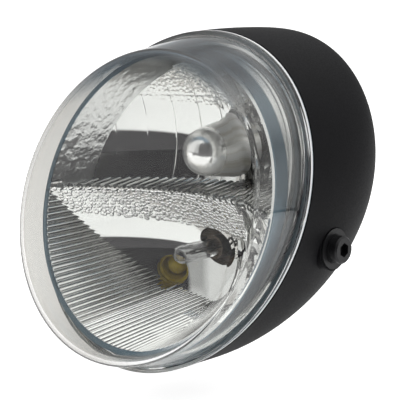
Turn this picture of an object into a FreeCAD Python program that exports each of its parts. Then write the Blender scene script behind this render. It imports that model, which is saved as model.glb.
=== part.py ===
"""Round motorcycle headlight: raked clear lens, two-chamber reflector, black bowl, side bolts.

Lengths are millimetres. The lamp is laid out from its seat, the raked ring where lens and housing
meet: Y runs from front to back, X to the side and Z up. Every finished piece is then moved so that
the origin is the middle of the line through the two side bolts, about which the lamp tilts.
"""
import FreeCAD
import Part
import Sketcher
import math
import os
import re
from FreeCAD import Matrix, Placement, Rotation, Vector

SIZES = {
    # Seat of the lamp and the line of its side bolts
    "seat_radius": 78.5,
    "rake_angle": 21.0,
    "front_rake": 16.0,
    "pivot_back": 22.5,
    "pivot_drop": 18.0,
    # Lens: flange, steep shoulder, rounded corner and crowned front
    "flange_depth": 4.0,
    "lens_wall": 3.0,
    "shoulder_foot_radius": 76.8,
    "shoulder_top_radius": 72.6,
    "lens_depth": 35.0,
    "lens_crown": 4.0,
    "lens_corner": 7.0,
    # Seal between the lens flange and the housing
    "seal_depth": 1.0,
    "seal_inner_radius": 72.4,
    "seal_inset": 0.6,
    # Housing bowl
    "housing_wall": 3.0,
    "housing_depth": 82.4,
    "back_radius": 42.0,
    "back_rise": 18.0,
    "ledge_inner_radius": 70.5,
    "ledge_depth": 2.5,
    "boss_radius": 10.5,
    "boss_reach": 14.0,
    "ear_half_width": 77.0,
    "spot_face_clearance": 0.6,
    # Reflector: rim, skirt, flutes, shelf and the two dishes
    "lip_depth": 16.0,
    "lip_radius": 70.3,
    "rim_foot_radius": 75.0,
    "rim_foot_depth": 2.0,
    "rim_wall_radius": 71.0,
    "skirt_radius": 68.5,
    "skirt_taper": 0.135,
    "skirt_wall": 2.2,
    "flute_count": 72,
    "flute_height": 1.3,
    "shelf_wall": 2.2,
    "rib_count": 60,
    "rib_height": 1.2,
    "rib_fan_front": 76.0,
    "upper_focal": 28.0,
    "upper_depth": 51.5,
    "upper_axis_rise": 20.0,
    "lower_focal": 37.5,
    "lower_depth": 39.0,
    "lower_axis_drop": 62.0,
    "dish_wall": 2.6,
    # Upper bulb and its seat
    "upper_bulb_rise": 20.0,
    "upper_hole_radius": 7.8,
    "upper_seat_radius": 16.0,
    "upper_seat_back": 56.0,
    "upper_glass_radius": 6.0,
    "upper_glass_length": 36.0,
    "upper_sleeve_radius": 7.2,
    "upper_sleeve_length": 9.0,
    # Lower bulb and its seat
    "lower_bulb_drop": 28.0,
    "lower_hole_radius": 10.0,
    "lower_seat_radius": 15.5,
    "lower_seat_back": 42.0,
    "lower_glass_radius": 4.6,
    "lower_glass_length": 31.0,
    "lower_sleeve_radius": 5.8,
    "lower_sleeve_length": 14.0,
    # Shared by both bulbs
    "glass_wall": 0.8,
    "glass_socket": 3.0,
    "bulb_flange_radius": 13.0,
    "bulb_flange_depth": 1.5,
    "bulb_stem_radius": 8.0,
    "bulb_stem_length": 8.0,
    "filament_radius": 0.7,
    "filament_length": 5.0,
    "lead_radius": 0.4,
    "lead_spread": 2.2,
    "filament_share": 0.57,
    "position_lead": 3.0,
    "blade_width": 6.3,
    "blade_thick": 0.8,
    "blade_length": 11.0,
    "blade_spread": 3.4,
    "plug_width": 20.0,
    "plug_height": 14.0,
    "plug_depth": 12.0,
    "plug_gap": 2.0,
    "slot_clearance": 0.2,
    "clip_wire_radius": 0.8,
    "clip_half_width": 10.0,
    "clip_leg": 16.0,
    "clip_rise": 6.0,
    "lug_radius": 2.6,
    "lug_length": 14.0,
    # Shield in front of the upper bulb
    "shield_radius": 12.0,
    "shield_wall": 0.9,
    "shield_back": 23.0,
    "shield_skirt": 21.0,
    "shield_mouth_radius": 15.0,
    "shield_strap_width": 5.0,
    "shield_pin_radius": 1.6,
    "shield_pin_floor": 2.0,
    # Position lamp
    "position_offset": 29.0,
    "position_drop": 43.6,
    "position_yaw": 21.0,
    "position_pitch": 13.0,
    "position_hole_radius": 8.2,
    "position_seat_radius": 10.8,
    "position_seat_length": 6.5,
    "position_glass_radius": 5.0,
    "holder_clearance": 0.2,
    "holder_wall": 1.4,
    "holder_rim": 2.0,
    "holder_inset": 2.0,
    "holder_floor": 2.0,
    "holder_length": 8.0,
    # Side bolts, washers and nuts
    "bolt_radius": 4.0,
    "bolt_length": 26.0,
    "bolt_head_radius": 6.5,
    "bolt_head_height": 4.0,
    "bolt_head_edge": 0.8,
    "socket_width": 6.0,
    "socket_depth": 3.2,
    "washer_radius": 9.6,
    "washer_thick": 1.0,
    "spring_washer_radius": 6.9,
    "spring_washer_thick": 1.2,
    "washer_clearance": 0.2,
    "spring_slit": 1.0,
    "nut_width": 13.0,
    "nut_height": 6.5,
    # Cable grommet in the back of the housing
    "grommet_bore_radius": 4.5,
    "grommet_neck_radius": 7.5,
    "grommet_flange_radius": 10.0,
    "grommet_flange_depth": 2.5,
    "grommet_barb": 2.0,
    "grommet_drop": 8.0,
}

# Constants of construction that are not sizes of the object
FAR = 200.0
HOUSING_SECTIONS = 7
FLUTE_RISE_SHARE = 0.8
BACKWARD = Rotation(Vector(1, 0, 0), -90)
FORWARD = Rotation(Vector(1, 0, 0), 90)
SIDES = {"right": 1, "left": -1}
STRAP_LEVEL = "upper_bulb_rise - shield_radius + shield_wall / 2"

doc = FreeCAD.newDocument("Headlight")


def make_sheet():
    """Spreadsheet with one named cell for each driving size."""
    sheet = doc.addObject("Spreadsheet::Sheet", "Sizes")
    for row, (alias, value) in enumerate(SIZES.items(), start=1):
        sheet.set(f"A{row}", alias)
        sheet.set(f"B{row}", str(value))
        sheet.setAlias(f"B{row}", alias)
    doc.recompute()
    return sheet


SHEET = make_sheet()
PIECES = []


def size(alias):
    """Number in the named cell."""
    return float(SHEET.get(alias))


def formula(text):
    """Expression with each size's name pointed at its cell."""
    def cell(match):
        word = match.group(0)
        return f"Sizes.{word}" if word in SIZES else word
    return re.sub(r"[a-z]+(?:_[a-z]+)*", cell, text)


def bind(obj, **formulas):
    """Tie properties of an object to the sheet."""
    for prop, text in formulas.items():
        obj.setExpression(prop, formula(text))
    return obj


def put(obj, x="0", y="0", z="0", turn=Rotation()):
    """Place an object by formulas, turned as given."""
    obj.Placement = Placement(Vector(), turn)
    for axis, text in zip("xyz", (x, y, z)):
        obj.setExpression(f"Placement.Base.{axis}", formula(text))
    return obj


def finish(obj, label, x="0", y="0", z="0", turn=Rotation()):
    """Name a finished piece and move it into the frame of the side bolts."""
    obj.Label = label
    put(obj, x, f"{y} - pivot_back", f"{z} + pivot_drop", turn)
    PIECES.append(obj)
    return obj


def cylinder(name, radius, height, x="0", y="0", z="0", turn=BACKWARD):
    """Cylinder that runs backward from its place unless turned."""
    obj = doc.addObject("Part::Cylinder", name)
    bind(obj, Radius=radius, Height=height)
    return put(obj, x, y, z, turn)


def box(name, length, width, height, x, y, z):
    """Box with its lowest corner at its place."""
    obj = doc.addObject("Part::Box", name)
    bind(obj, Length=length, Width=width, Height=height)
    return put(obj, x, y, z)


def ball(name, radius, x="0", y="0", z="0"):
    """Sphere about its place."""
    obj = doc.addObject("Part::Sphere", name)
    bind(obj, Radius=radius)
    return put(obj, x, y, z)


def cone(name, near_radius, far_radius, height, x="0", y="0", z="0", turn=BACKWARD):
    """Cone or flared tube that runs backward from its place unless turned."""
    obj = doc.addObject("Part::Cone", name)
    bind(obj, Radius1=near_radius, Radius2=far_radius, Height=height)
    return put(obj, x, y, z, turn)


def fuse(name, *shapes):
    """Union of several objects."""
    obj = doc.addObject("Part::MultiFuse", name)
    obj.Shapes = list(shapes)
    return obj


def common(name, *shapes):
    """What several objects share."""
    obj = doc.addObject("Part::MultiCommon", name)
    obj.Shapes = list(shapes)
    return obj


def cut(name, base, tool):
    """One object less another."""
    obj = doc.addObject("Part::Cut", name)
    obj.Base = base
    obj.Tool = tool
    return obj


def feature(name, shape):
    """Object that holds a shape built from the sheet's sizes."""
    obj = doc.addObject("Part::Feature", name)
    obj.Shape = shape
    return obj


def raked(shape, angle="rake_angle"):
    """Shape leant back at a rake angle, with its round sections kept across Y."""
    lean = Matrix()
    lean.A23 = math.tan(math.radians(size(angle)))
    return shape.transformGeometry(lean)


def raked_ring(radius, depth, angle):
    """Wire of a circle across Y, leant back at a rake angle."""
    lean = math.tan(math.radians(size(angle)))
    middle = Vector(0, depth, 0)
    top = Vector(0, lean, 1) * radius
    side = Vector(radius, 0, 0)
    return Part.Wire(Part.Ellipse(middle + top, middle + side, middle).toShape())


def revolved(edges):
    """Solid turned about the Y axis from a closed outline in the YZ plane."""
    face = Part.Face(Part.Wire(edges))
    return face.revolve(Vector(), Vector(0, 1, 0), 360)


def outline(points):
    """Straight edges round a closed list of (depth, radius) points."""
    corners = [Vector(0, depth, radius) for depth, radius in points]
    return [Part.LineSegment(a, b).toShape() for a, b in zip(corners, corners[1:] + corners[:1])]


def turned(name, points):
    """Body turned about its own Z axis from (radius, height) formulas."""
    body = doc.addObject("PartDesign::Body", name)
    plane = next(o for o in body.Origin.OriginFeatures if o.Role == "XZ_Plane")
    sketch = body.newObject("Sketcher::SketchObject", f"{name}_outline")
    sketch.AttachmentSupport = [(plane, "")]
    sketch.MapMode = "FlatFace"
    count = len(points)
    spots = [Vector(2 + math.cos(k * math.tau / count), 2 + math.sin(k * math.tau / count), 0)
             for k in range(count)]
    for a, b in zip(spots, spots[1:] + spots[:1]):
        sketch.addGeometry(Part.LineSegment(a, b), False)
    for k in range(count):
        sketch.addConstraint(Sketcher.Constraint("Coincident", k, 2, (k + 1) % count, 1))
    for k, corner in enumerate(points):
        for kind, text, axis in zip(("DistanceX", "DistanceY"), corner, (-2, -1)):
            if text == "0":
                sketch.addConstraint(Sketcher.Constraint("PointOnObject", k, 1, axis))
                continue
            index = sketch.addConstraint(Sketcher.Constraint(kind, -1, 1, k, 1, 1.0))
            sketch.setExpression(f"Constraints[{index}]", formula(text))
    turn = body.newObject("PartDesign::Revolution", f"{name}_turn")
    turn.Profile = sketch
    turn.ReferenceAxis = (sketch, ["V_Axis"])
    turn.Angle = 360
    body.Tip = turn
    return body


def lens_cap(inset):
    """Front of the lens from its rounded corner forward, inside its outer face by the inset."""
    top = size("shoulder_top_radius") - inset
    base = size("lens_corner") - size("lens_depth")
    corner = size("lens_corner") - inset
    front = base - corner
    centre = Vector(0, base, top - corner)
    bend = centre + Vector(0, -corner, corner) * math.sqrt(0.5)
    face = Vector(0, front, top - corner)
    middle = Vector(0, front - size("lens_crown"), 0)
    between = Vector(0, front - size("lens_crown") * 0.75, face.z / 2)
    edge = Vector(0, base, top)
    foot = Vector(0, base, 0)
    cap = revolved([Part.Arc(edge, bend, face).toShape(), Part.Arc(face, between, middle).toShape(),
                    Part.LineSegment(middle, foot).toShape(), Part.LineSegment(foot, edge).toShape()])
    return raked(cap, "front_rake")


def lens_shoulder(inset):
    """Steep side of the lens, between the rake of the seat and that of its front."""
    base = size("lens_corner") - size("lens_depth")
    rings = [raked_ring(size("shoulder_foot_radius") - inset, 0, "rake_angle"),
             raked_ring(size("shoulder_top_radius") - inset, base, "front_rake")]
    return Part.makeLoft(rings, True, True)


def make_lens():
    """Clear cover: flange on the seat, steep shoulder, rounded corner, crowned front."""
    reach = size("flange_depth")
    edge_radius = size("seat_radius")
    flange = revolved(outline([(0, 0), (0, edge_radius), (-reach, edge_radius), (-reach, 0)]))
    edge = [e for e in flange.Edges if abs(e.BoundBox.YMin + reach) < 1e-6 and e.BoundBox.YLength < 1e-6]
    flange = raked(flange.makeFillet(reach / 3, edge))
    hollow = lens_cap(size("lens_wall")).fuse(lens_shoulder(size("lens_wall")))
    cover = lens_cap(0).fuse(lens_shoulder(0)).fuse(flange)
    finish(feature("lens_shape", cover.cut(hollow)), "lens")


def make_seal():
    """Flat ring pressed between the lens flange and the housing's mouth."""
    outer = size("seat_radius") - size("seal_inset")
    inner = size("seal_inner_radius")
    depth = size("seal_depth")
    ring = revolved(outline([(0, inner), (0, outer), (depth, outer), (depth, inner)]))
    finish(feature("seal_shape", raked(ring)), "lens_seal")


def housing_section(name, share, inset):
    """Raked oval of the bowl at a share of its depth, inside its outer face by the inset."""
    radius = f"(back_radius + (seat_radius - back_radius) * {math.sqrt(1 - share ** 3)} - {inset})"
    upright_share = 1 - share ** 5
    lean = f"rake_angle * {upright_share} * 1deg"
    oval = doc.addObject("Part::Ellipse", name)
    bind(oval, MajorRadius=f"{radius} / cos({lean})", MinorRadius=radius)
    upright = Rotation(Vector(0, 0, 1), Vector(1, 0, 0), Vector(0, 1, 0), "XYZ")
    tilt = Rotation(Vector(1, 0, 0), -size("rake_angle") * upright_share)
    return put(oval, "0", f"seal_depth + (housing_depth - {inset}) * {share}", f"back_rise * {share ** 4}",
               tilt * upright)


def housing_loft(name, inset):
    """Bowl lofted through its sections, closer together towards the back."""
    last = HOUSING_SECTIONS - 1
    shares = [1 - (1 - k / last) ** 2 for k in range(HOUSING_SECTIONS)]
    loft = doc.addObject("Part::Loft", name)
    loft.Sections = [housing_section(f"{name}_{k}", share, inset) for k, share in enumerate(shares)]
    loft.Solid = True
    loft.Ruled = False
    return loft


def make_housing():
    """Black bowl with a ledge for the reflector, spot-faced side bosses and a cable hole."""
    shell = cut("bowl_shell", housing_loft("bowl", "0"), housing_loft("bowl_hollow", "housing_wall"))
    near = size("seal_depth") + size("rim_foot_depth")
    far = near + size("ledge_depth")
    inner = size("ledge_inner_radius")
    outer = size("seat_radius") - size("housing_wall") / 2
    ring = outline([(near, inner), (near, outer), (far, outer), (far, inner)])
    ledge = feature("ledge", raked(revolved(ring)))
    bosses = []
    holes = []
    for side, sign in SIDES.items():
        outward = Rotation(Vector(0, 1, 0), 90 * sign)
        start = f"{sign} * (ear_half_width - boss_reach)"
        bosses.append(cylinder(f"boss_{side}", "boss_radius", "boss_reach", start, "pivot_back",
                               "-pivot_drop", outward))
        holes.append(cylinder(f"bolt_hole_{side}", "bolt_radius", f"{FAR}", "0", "pivot_back",
                              "-pivot_drop", outward))
        holes.append(cylinder(f"spot_face_{side}", "washer_radius + spot_face_clearance", f"{FAR}",
                              f"{sign} * ear_half_width", "pivot_back", "-pivot_drop", outward))
    holes.append(cylinder("cable_hole", "grommet_neck_radius", f"{FAR}", "0", "housing_depth - 20",
                          "-grommet_drop"))
    walls = fuse("housing_walls", shell, ledge, *bosses)
    finish(cut("housing_shape", walls, fuse("housing_holes", *holes)), "housing")


def paraboloid(name, focal, depth, axis_rise, shift):
    """Solid that fills a dish, from its deepest point forward."""
    reach = FAR * 0.6
    apex = Vector(0, depth + shift, 0)
    span = 2 * math.sqrt(focal * reach)
    edge = Part.BezierCurve()
    edge.setPoles([apex, apex + Vector(0, 0, span / 2), apex + Vector(0, -reach, span)])
    rim = edge.getPole(3)
    open_centre = Vector(0, rim.y, 0)
    solid = revolved([edge.toShape(), Part.LineSegment(rim, open_centre).toShape(),
                      Part.LineSegment(open_centre, apex).toShape()])
    obj = feature(name, solid)
    obj.Placement = Placement(Vector(0, 0, axis_rise), Rotation())
    return obj


def skirt_round(name, wall, front):
    """Raked smooth cone of the skirt, at its inner face or a wall outside it."""
    lip = size("lip_depth")
    back = 90.0
    radius = size("skirt_radius") + wall
    taper = size("skirt_taper")
    points = [(front - lip, 0), (front - lip, radius - taper * front),
              (back - lip, radius - taper * back), (back - lip, 0)]
    return feature(name, raked(revolved(outline(points)), "front_rake"))


def fluted_ring(depth):
    """Saw-toothed closed wire of the skirt at a depth behind the lip."""
    radius = size("skirt_radius") - size("skirt_taper") * depth
    back = depth - size("lip_depth")
    count = int(size("flute_count"))
    pitch = math.pi / count
    points = []
    for k in range(count):
        start = math.pi + k * pitch
        crest = start + FLUTE_RISE_SHARE * pitch
        for angle, reach in ((start, radius), (crest, radius - size("flute_height"))):
            points.append(Vector(reach * math.cos(angle), back, reach * math.sin(angle)))
    points.append(Vector(radius, back, 0))
    points.append(Vector(radius, back, radius / 4))
    points.append(Vector(-radius, back, radius / 4))
    return Part.makePolygon(points + points[:1])


def make_reflector():
    """Metallised moulding: rim, fluted skirt, ribbed shelf and two dishes with bulb seats."""
    lip = size("lip_depth")
    upper = (size("upper_focal"), size("upper_depth"), size("upper_axis_rise"))
    lower = (size("lower_focal"), size("lower_depth"), -size("lower_axis_drop"))
    wide = f"{2 * FAR}"
    half = f"{-FAR}"
    above = box("above_shelf", wide, wide, f"{FAR}", half, half, "0")
    below = box("below_shelf", wide, wide, f"{FAR}", half, half, half)
    over = box("over_shelf_underside", wide, wide, f"{FAR}", half, half, "-shelf_wall")
    upper_dish = paraboloid("upper_dish", *upper, 0)
    lower_dish = paraboloid("lower_dish", *lower, 0)
    upper_back = common("upper_back", over, paraboloid("upper_dish_back", *upper, size("dish_wall")))
    lower_back = common("lower_back", below, paraboloid("lower_dish_back", *lower, size("dish_wall")))
    body = common("dish_body", skirt_round("skirt_outside", size("skirt_wall"), 0),
                  fuse("dish_backs", upper_back, lower_back))
    foot = size("seal_depth")
    rear = foot + size("rim_foot_depth")
    inner = size("skirt_radius") - size("skirt_taper") * (rear + lip)
    rim_foot = feature("rim_foot", raked(revolved(outline([
        (foot, inner), (foot, size("rim_foot_radius")), (rear, size("rim_foot_radius")), (rear, inner)]))))
    rim = feature("rim", Part.makeLoft([raked_ring(size("lip_radius"), -lip, "front_rake"),
                                        raked_ring(size("rim_wall_radius"), rear, "rake_angle")], True, True))
    rim_hollow = skirt_round("rim_hollow", 0, -6.0)
    seats, holes = bulb_seats()
    moulding = fuse("moulding", body, cut("rim_wall", rim, rim_hollow), rim_foot, *seats)
    flutes = feature("fluted_bore", raked(Part.makeLoft([fluted_ring(-6.0), fluted_ring(90.0)], True, True),
                                         "front_rake"))
    upper_room = common("upper_room", above, upper_dish, skirt_round("skirt_inside", 0, -6.0))
    upper_room = cut("upper_room_ribbed", upper_room, cut("shelf_ribs", shelf_fan(), lower_dish))
    lower_room = common("lower_room", below, lower_dish, flutes)
    rooms = fuse("rooms", upper_room, lower_room, *holes)
    finish(cut("reflector_shape", moulding, rooms), "reflector")


def shelf_fan():
    """Saw-toothed fan of ribs that spreads backward over the shelf from a point in front."""
    front = -size("rib_fan_front")
    back = size("upper_depth") + size("dish_wall")
    reach = back - front
    count = int(size("rib_count"))
    pitch = 2 * reach / count
    tall = size("rib_height") * reach / size("rib_fan_front")
    points = [Vector(-reach, back, -reach / 4)]
    for k in range(count):
        start = -reach + k * pitch
        points.append(Vector(start, back, 0))
        points.append(Vector(start + FLUTE_RISE_SHARE * pitch, back, tall))
    points.append(Vector(reach, back, 0))
    points.append(Vector(reach, back, -reach / 4))
    apex = Vector(0, front, 0)
    sides = [Part.Face(Part.makePolygon([apex, a, b, apex])) for a, b in zip(points, points[1:] + points[:1])]
    base = Part.Face(Part.makePolygon(points + points[:1]))
    return feature("shelf_fan", Part.Solid(Part.Shell(sides + [base])))


def position_turn():
    """Direction of the position lamp, square to the dish where it stands."""
    return Rotation(Vector(0, 0, 1), size("position_yaw")) * Rotation(Vector(1, 0, 0), size("position_pitch"))


def position_spot(along):
    """Point on the position lamp's axis, a distance behind the dish's face."""
    x = -size("position_offset")
    z = -size("position_drop")
    away = z + size("lower_axis_drop")
    y = size("lower_depth") - (x * x + away * away) / (4 * size("lower_focal"))
    return Vector(x, y, z) + position_turn().multVec(Vector(0, along, 0))


def position_cylinder(name, radius, start, length):
    """Cylinder on the position lamp's axis."""
    obj = doc.addObject("Part::Cylinder", name)
    bind(obj, Radius=radius, Height=length)
    obj.Placement = Placement(position_spot(start), position_turn() * BACKWARD)
    return obj


def clip_lugs(name, rise, seat_back):
    """Three lugs behind a dish on which a bulb's wire clip rests."""
    back = f"{seat_back} + bulb_flange_depth"
    spots = (("left", "-clip_half_width", f"{rise} - clip_leg + lug_radius / 2"),
             ("right", "clip_half_width", f"{rise} - clip_leg + lug_radius / 2"),
             ("top", "0", f"{rise} + clip_rise + clip_half_width"))
    return [cylinder(f"{name}_lug_{where}", "lug_radius", "lug_length", x, f"{back} - lug_length", z)
            for where, x, z in spots]


def bulb_seats():
    """Seats and lugs moulded behind the dishes, and the holes through them."""
    seats = [cylinder("upper_seat", "upper_seat_radius", "upper_seat_back - upper_depth + 8", "0",
                      "upper_depth - 8", "upper_bulb_rise"),
             cylinder("lower_seat", "lower_seat_radius", "20", "0", "lower_seat_back - 20",
                      "-lower_bulb_drop"),
             position_cylinder("position_seat", "position_seat_radius", -4.0, "position_seat_length + 4")]
    seats += clip_lugs("upper", "upper_bulb_rise", "upper_seat_back")
    seats += clip_lugs("lower", "-lower_bulb_drop", "lower_seat_back")
    holes = [cylinder("upper_hole", "upper_hole_radius", "40", "0", "upper_seat_back - 20",
                      "upper_bulb_rise"),
             cylinder("lower_hole", "lower_hole_radius", "40", "0", "lower_seat_back - 20",
                      "-lower_bulb_drop"),
             cylinder("shield_pin_hole", "shield_pin_radius", "20", "0",
                      "upper_seat_back - shield_pin_floor - 20", STRAP_LEVEL),
             position_cylinder("position_hole", "position_hole_radius", -8.0, "30")]
    return seats, holes


def make_shield():
    """Polished cap round the upper bulb: ball front, flared skirt and a strap pinned into the seat."""
    middle = ("0", "shield_back", "upper_bulb_rise")
    inner = "shield_radius - shield_wall"
    solid = fuse("shield_solid", ball("shield_ball", "shield_radius", *middle),
                 cone("shield_flare", "shield_radius", "shield_mouth_radius", "shield_skirt", *middle))
    hollow = fuse("shield_hollow", ball("shield_inner_ball", inner, *middle),
                  cone("shield_inner_flare", inner, "shield_mouth_radius - shield_wall", "shield_skirt",
                       *middle))
    cap = cut("shield_cap", solid, hollow)
    strap = box("shield_strap", "shield_strap_width", "upper_seat_back - upper_hole_radius - shield_back",
                "shield_wall", "-shield_strap_width / 2", "shield_back", f"{STRAP_LEVEL} - shield_wall / 2")
    pin_length = "upper_hole_radius - shield_pin_floor + shield_wall"
    pin = cylinder("shield_pin", "shield_pin_radius", pin_length, "0",
                   "upper_seat_back - upper_hole_radius - shield_wall", STRAP_LEVEL)
    finish(fuse("shield_shape", cap, strap, pin), "bulb_shield")


def glass_tube(name, radius, length):
    """Round-ended glass tube, open at its base, along its own Z axis."""
    def capsule(part, inset):
        top = f"{length} - {radius}"
        around = f"{radius} - {inset}"
        return fuse(f"{name}_{part}", cylinder(f"{name}_{part}_wall", around, top, turn=Rotation()),
                    ball(f"{name}_{part}_tip", around, "0", "0", top))
    return cut(f"{name}_shape", capsule("outside", "0"), capsule("inside", "glass_wall"))


def filament(name, lead):
    """Coil along its own Z axis held between two leads of different lengths."""
    sideways = Rotation(Vector(0, 1, 0), 90)
    arm = "lead_radius * 0.8"
    far_end = f"{lead} + filament_length"
    parts = [cylinder(f"{name}_coil", "filament_radius", "filament_length + 2 * lead_radius", "0", "0",
                      f"{lead} - lead_radius", Rotation()),
             cylinder(f"{name}_short_lead", "lead_radius", f"{lead} + lead_radius", "-lead_spread",
                      turn=Rotation()),
             cylinder(f"{name}_long_lead", "lead_radius", f"{far_end} + lead_radius", "lead_spread",
                      turn=Rotation()),
             cylinder(f"{name}_rear_arm", arm, "lead_spread", "-lead_spread", "0", lead, sideways),
             cylinder(f"{name}_front_arm", arm, "lead_spread", "0", "0", far_end, sideways)]
    return fuse(f"{name}_shape", *parts)


def wire_clip(name, rise, seat_back):
    """Sprung wire loop bent over the back of a bulb's flange."""
    half = size("clip_half_width")
    top = size("clip_rise")
    low = -size("clip_leg")
    left, right = Vector(-half, 0, top), Vector(half, 0, top)
    path = Part.Wire([Part.LineSegment(Vector(-half, 0, low), left).toShape(),
                      Part.Arc(left, Vector(0, 0, top + half), right).toShape(),
                      Part.LineSegment(right, Vector(half, 0, low)).toShape()])
    ring = Part.Wire(Part.makeCircle(size("clip_wire_radius"), Vector(-half, 0, low), Vector(0, 0, 1)))
    clip = feature(f"{name}_wire", path.makePipeShell([ring], True, False))
    finish(clip, f"{name}_clip", "0", f"{seat_back} + bulb_flange_depth + clip_wire_radius", rise)


def make_bulb(name, rise):
    """Bulb with its glass, filament, metal base, two blades, wire clip and plug."""
    seat_back = f"{name}_seat_back"
    socket = f"{seat_back} - {name}_sleeve_length + glass_socket"
    stem_back = f"{seat_back} + bulb_flange_depth + bulb_stem_length"
    base = turned(f"{name}_base_body", [
        ("0", "glass_socket"), (f"{name}_glass_radius", "glass_socket"), (f"{name}_glass_radius", "0"),
        (f"{name}_sleeve_radius", "0"), (f"{name}_sleeve_radius", f"{name}_sleeve_length"),
        ("bulb_flange_radius", f"{name}_sleeve_length"),
        ("bulb_flange_radius", f"{name}_sleeve_length + bulb_flange_depth"),
        ("bulb_stem_radius", f"{name}_sleeve_length + bulb_flange_depth"),
        ("bulb_stem_radius", f"{name}_sleeve_length + bulb_flange_depth + bulb_stem_length"),
        ("0", f"{name}_sleeve_length + bulb_flange_depth + bulb_stem_length")])
    finish(base, f"{name}_bulb_base", "0", f"{seat_back} - {name}_sleeve_length", rise, BACKWARD)
    glass = glass_tube(f"{name}_glass", f"{name}_glass_radius", f"{name}_glass_length")
    finish(glass, f"{name}_bulb_glass", "0", socket, rise, FORWARD)
    lead = f"{name}_glass_length * filament_share"
    finish(filament(f"{name}_filament", lead), f"{name}_bulb_filament", "0", socket, rise, FORWARD)
    slots = []
    for side, sign in SIDES.items():
        x = f"{sign} * blade_spread - blade_thick / 2"
        z = f"{rise} - blade_width / 2"
        blade = box(f"{name}_{side}_strip", "blade_thick", "blade_length", "blade_width", "0", "0", "0")
        finish(blade, f"{name}_blade_{side}", x, stem_back, z)
        slots.append(box(f"{name}_{side}_slot", "blade_thick + 2 * slot_clearance",
                         "blade_length + slot_clearance",
                         "blade_width + 2 * slot_clearance", f"{x} - slot_clearance", stem_back,
                         f"{z} - slot_clearance"))
    block = box(f"{name}_plug_block", "plug_width", "plug_depth", "plug_height", "-plug_width / 2",
                f"{stem_back} + plug_gap", f"{rise} - plug_height / 2")
    finish(cut(f"{name}_plug_shape", block, fuse(f"{name}_plug_slots", *slots)), f"{name}_plug")
    wire_clip(name, rise, seat_back)


def finish_position(obj, label, along, turn):
    """Name a piece of the position lamp and set it on that lamp's axis."""
    obj.Label = label
    spot = position_spot(along) + Vector(0, -size("pivot_back"), size("pivot_drop"))
    obj.Placement = Placement(spot, position_turn() * turn)
    PIECES.append(obj)


def make_position_lamp():
    """Small push-in lamp behind its hole in the lower dish."""
    plug = "position_seat_length - holder_inset"
    back = f"{plug} + holder_rim + holder_length"
    outside = "position_hole_radius - holder_clearance"
    inside = f"{outside} - holder_wall"
    holder = turned("position_holder_body", [
        (inside, "0"), (outside, "0"), (outside, plug), ("position_seat_radius", plug),
        ("position_seat_radius", f"{plug} + holder_rim"), (outside, f"{plug} + holder_rim"), (outside, back),
        ("0", back), ("0", f"{back} - holder_floor"), (inside, f"{back} - holder_floor")])
    front = size("holder_inset")
    floor = size("position_seat_length") + size("holder_rim") + size("holder_length") - size("holder_floor")
    finish_position(holder, "position_holder", front, BACKWARD)
    finish_position(glass_tube("position_glass", "position_glass_radius", f"{floor - front}"),
                    "position_bulb_glass", floor, FORWARD)
    finish_position(filament("position_filament", "position_lead"), "position_bulb_filament", floor, FORWARD)


def make_side_bolts():
    """Bolt, spring washer, flat washer and nut on each side of the housing."""
    y = "pivot_back"
    z = "-pivot_drop"
    hole = "bolt_radius + washer_clearance"
    for side, sign in SIDES.items():
        outward = Rotation(Vector(0, 1, 0), 90 * sign)
        flat = turned(f"flat_washer_{side}_body", [(hole, "0"), ("washer_radius", "0"),
                                                   ("washer_radius", "washer_thick"),
                                                   (hole, "washer_thick")])
        finish(flat, f"flat_washer_{side}", f"{sign} * ear_half_width", y, z, outward)
        ring = turned(f"spring_ring_{side}", [(hole, "0"), ("spring_washer_radius", "0"),
                                              ("spring_washer_radius", "spring_washer_thick"),
                                              (hole, "spring_washer_thick")])
        slit = box(f"spring_slit_{side}", "spring_slit", "spring_washer_radius * 2", "spring_washer_thick",
                   "-spring_slit / 2", "0", "0")
        finish(cut(f"spring_washer_{side}_shape", ring, slit), f"spring_washer_{side}",
               f"{sign} * (ear_half_width + washer_thick)", y, z, outward)
        shank = turned(f"bolt_blank_{side}", [
            ("0", "0"), ("bolt_radius - bolt_head_edge", "0"), ("bolt_radius", "bolt_head_edge"),
            ("bolt_radius", "bolt_length"), ("bolt_head_radius", "bolt_length"),
            ("bolt_head_radius", "bolt_length + bolt_head_height - bolt_head_edge"),
            ("bolt_head_radius - bolt_head_edge", "bolt_length + bolt_head_height"),
            ("0", "bolt_length + bolt_head_height")])
        socket = doc.addObject("Part::Prism", f"socket_{side}")
        bind(socket, Circumradius="socket_width / sqrt(3)", Height="socket_depth")
        put(socket, z="bolt_length + bolt_head_height - socket_depth")
        finish(cut(f"side_bolt_{side}_shape", shank, socket), f"side_bolt_{side}",
               f"{sign} * (ear_half_width + washer_thick + spring_washer_thick - bolt_length)", y, z, outward)
        block = doc.addObject("Part::Prism", f"nut_block_{side}")
        bind(block, Circumradius="nut_width / sqrt(3)", Height="nut_height")
        bore = cylinder(f"nut_bore_{side}", "bolt_radius", "nut_height", turn=Rotation())
        finish(cut(f"side_nut_{side}_shape", block, bore), f"side_nut_{side}",
               f"{sign} * (ear_half_width - boss_reach - nut_height)", y, z, outward)


def make_grommet():
    """Rubber bush snapped into the cable hole in the back of the housing."""
    neck_back = "grommet_flange_depth + housing_wall"
    whole = f"{neck_back} + grommet_flange_depth"
    barb = "grommet_neck_radius + grommet_barb"
    bush = turned("grommet_body", [
        ("grommet_bore_radius", "0"), (barb, "0"), (barb, "grommet_flange_depth"),
        ("grommet_neck_radius", "grommet_flange_depth"), ("grommet_neck_radius", neck_back),
        ("grommet_flange_radius", neck_back), ("grommet_flange_radius", whole),
        ("grommet_bore_radius", whole)])
    start = f"seal_depth + housing_depth - ({neck_back})"
    finish(bush, "cable_grommet", "0", start, "-grommet_drop", BACKWARD)


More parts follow.
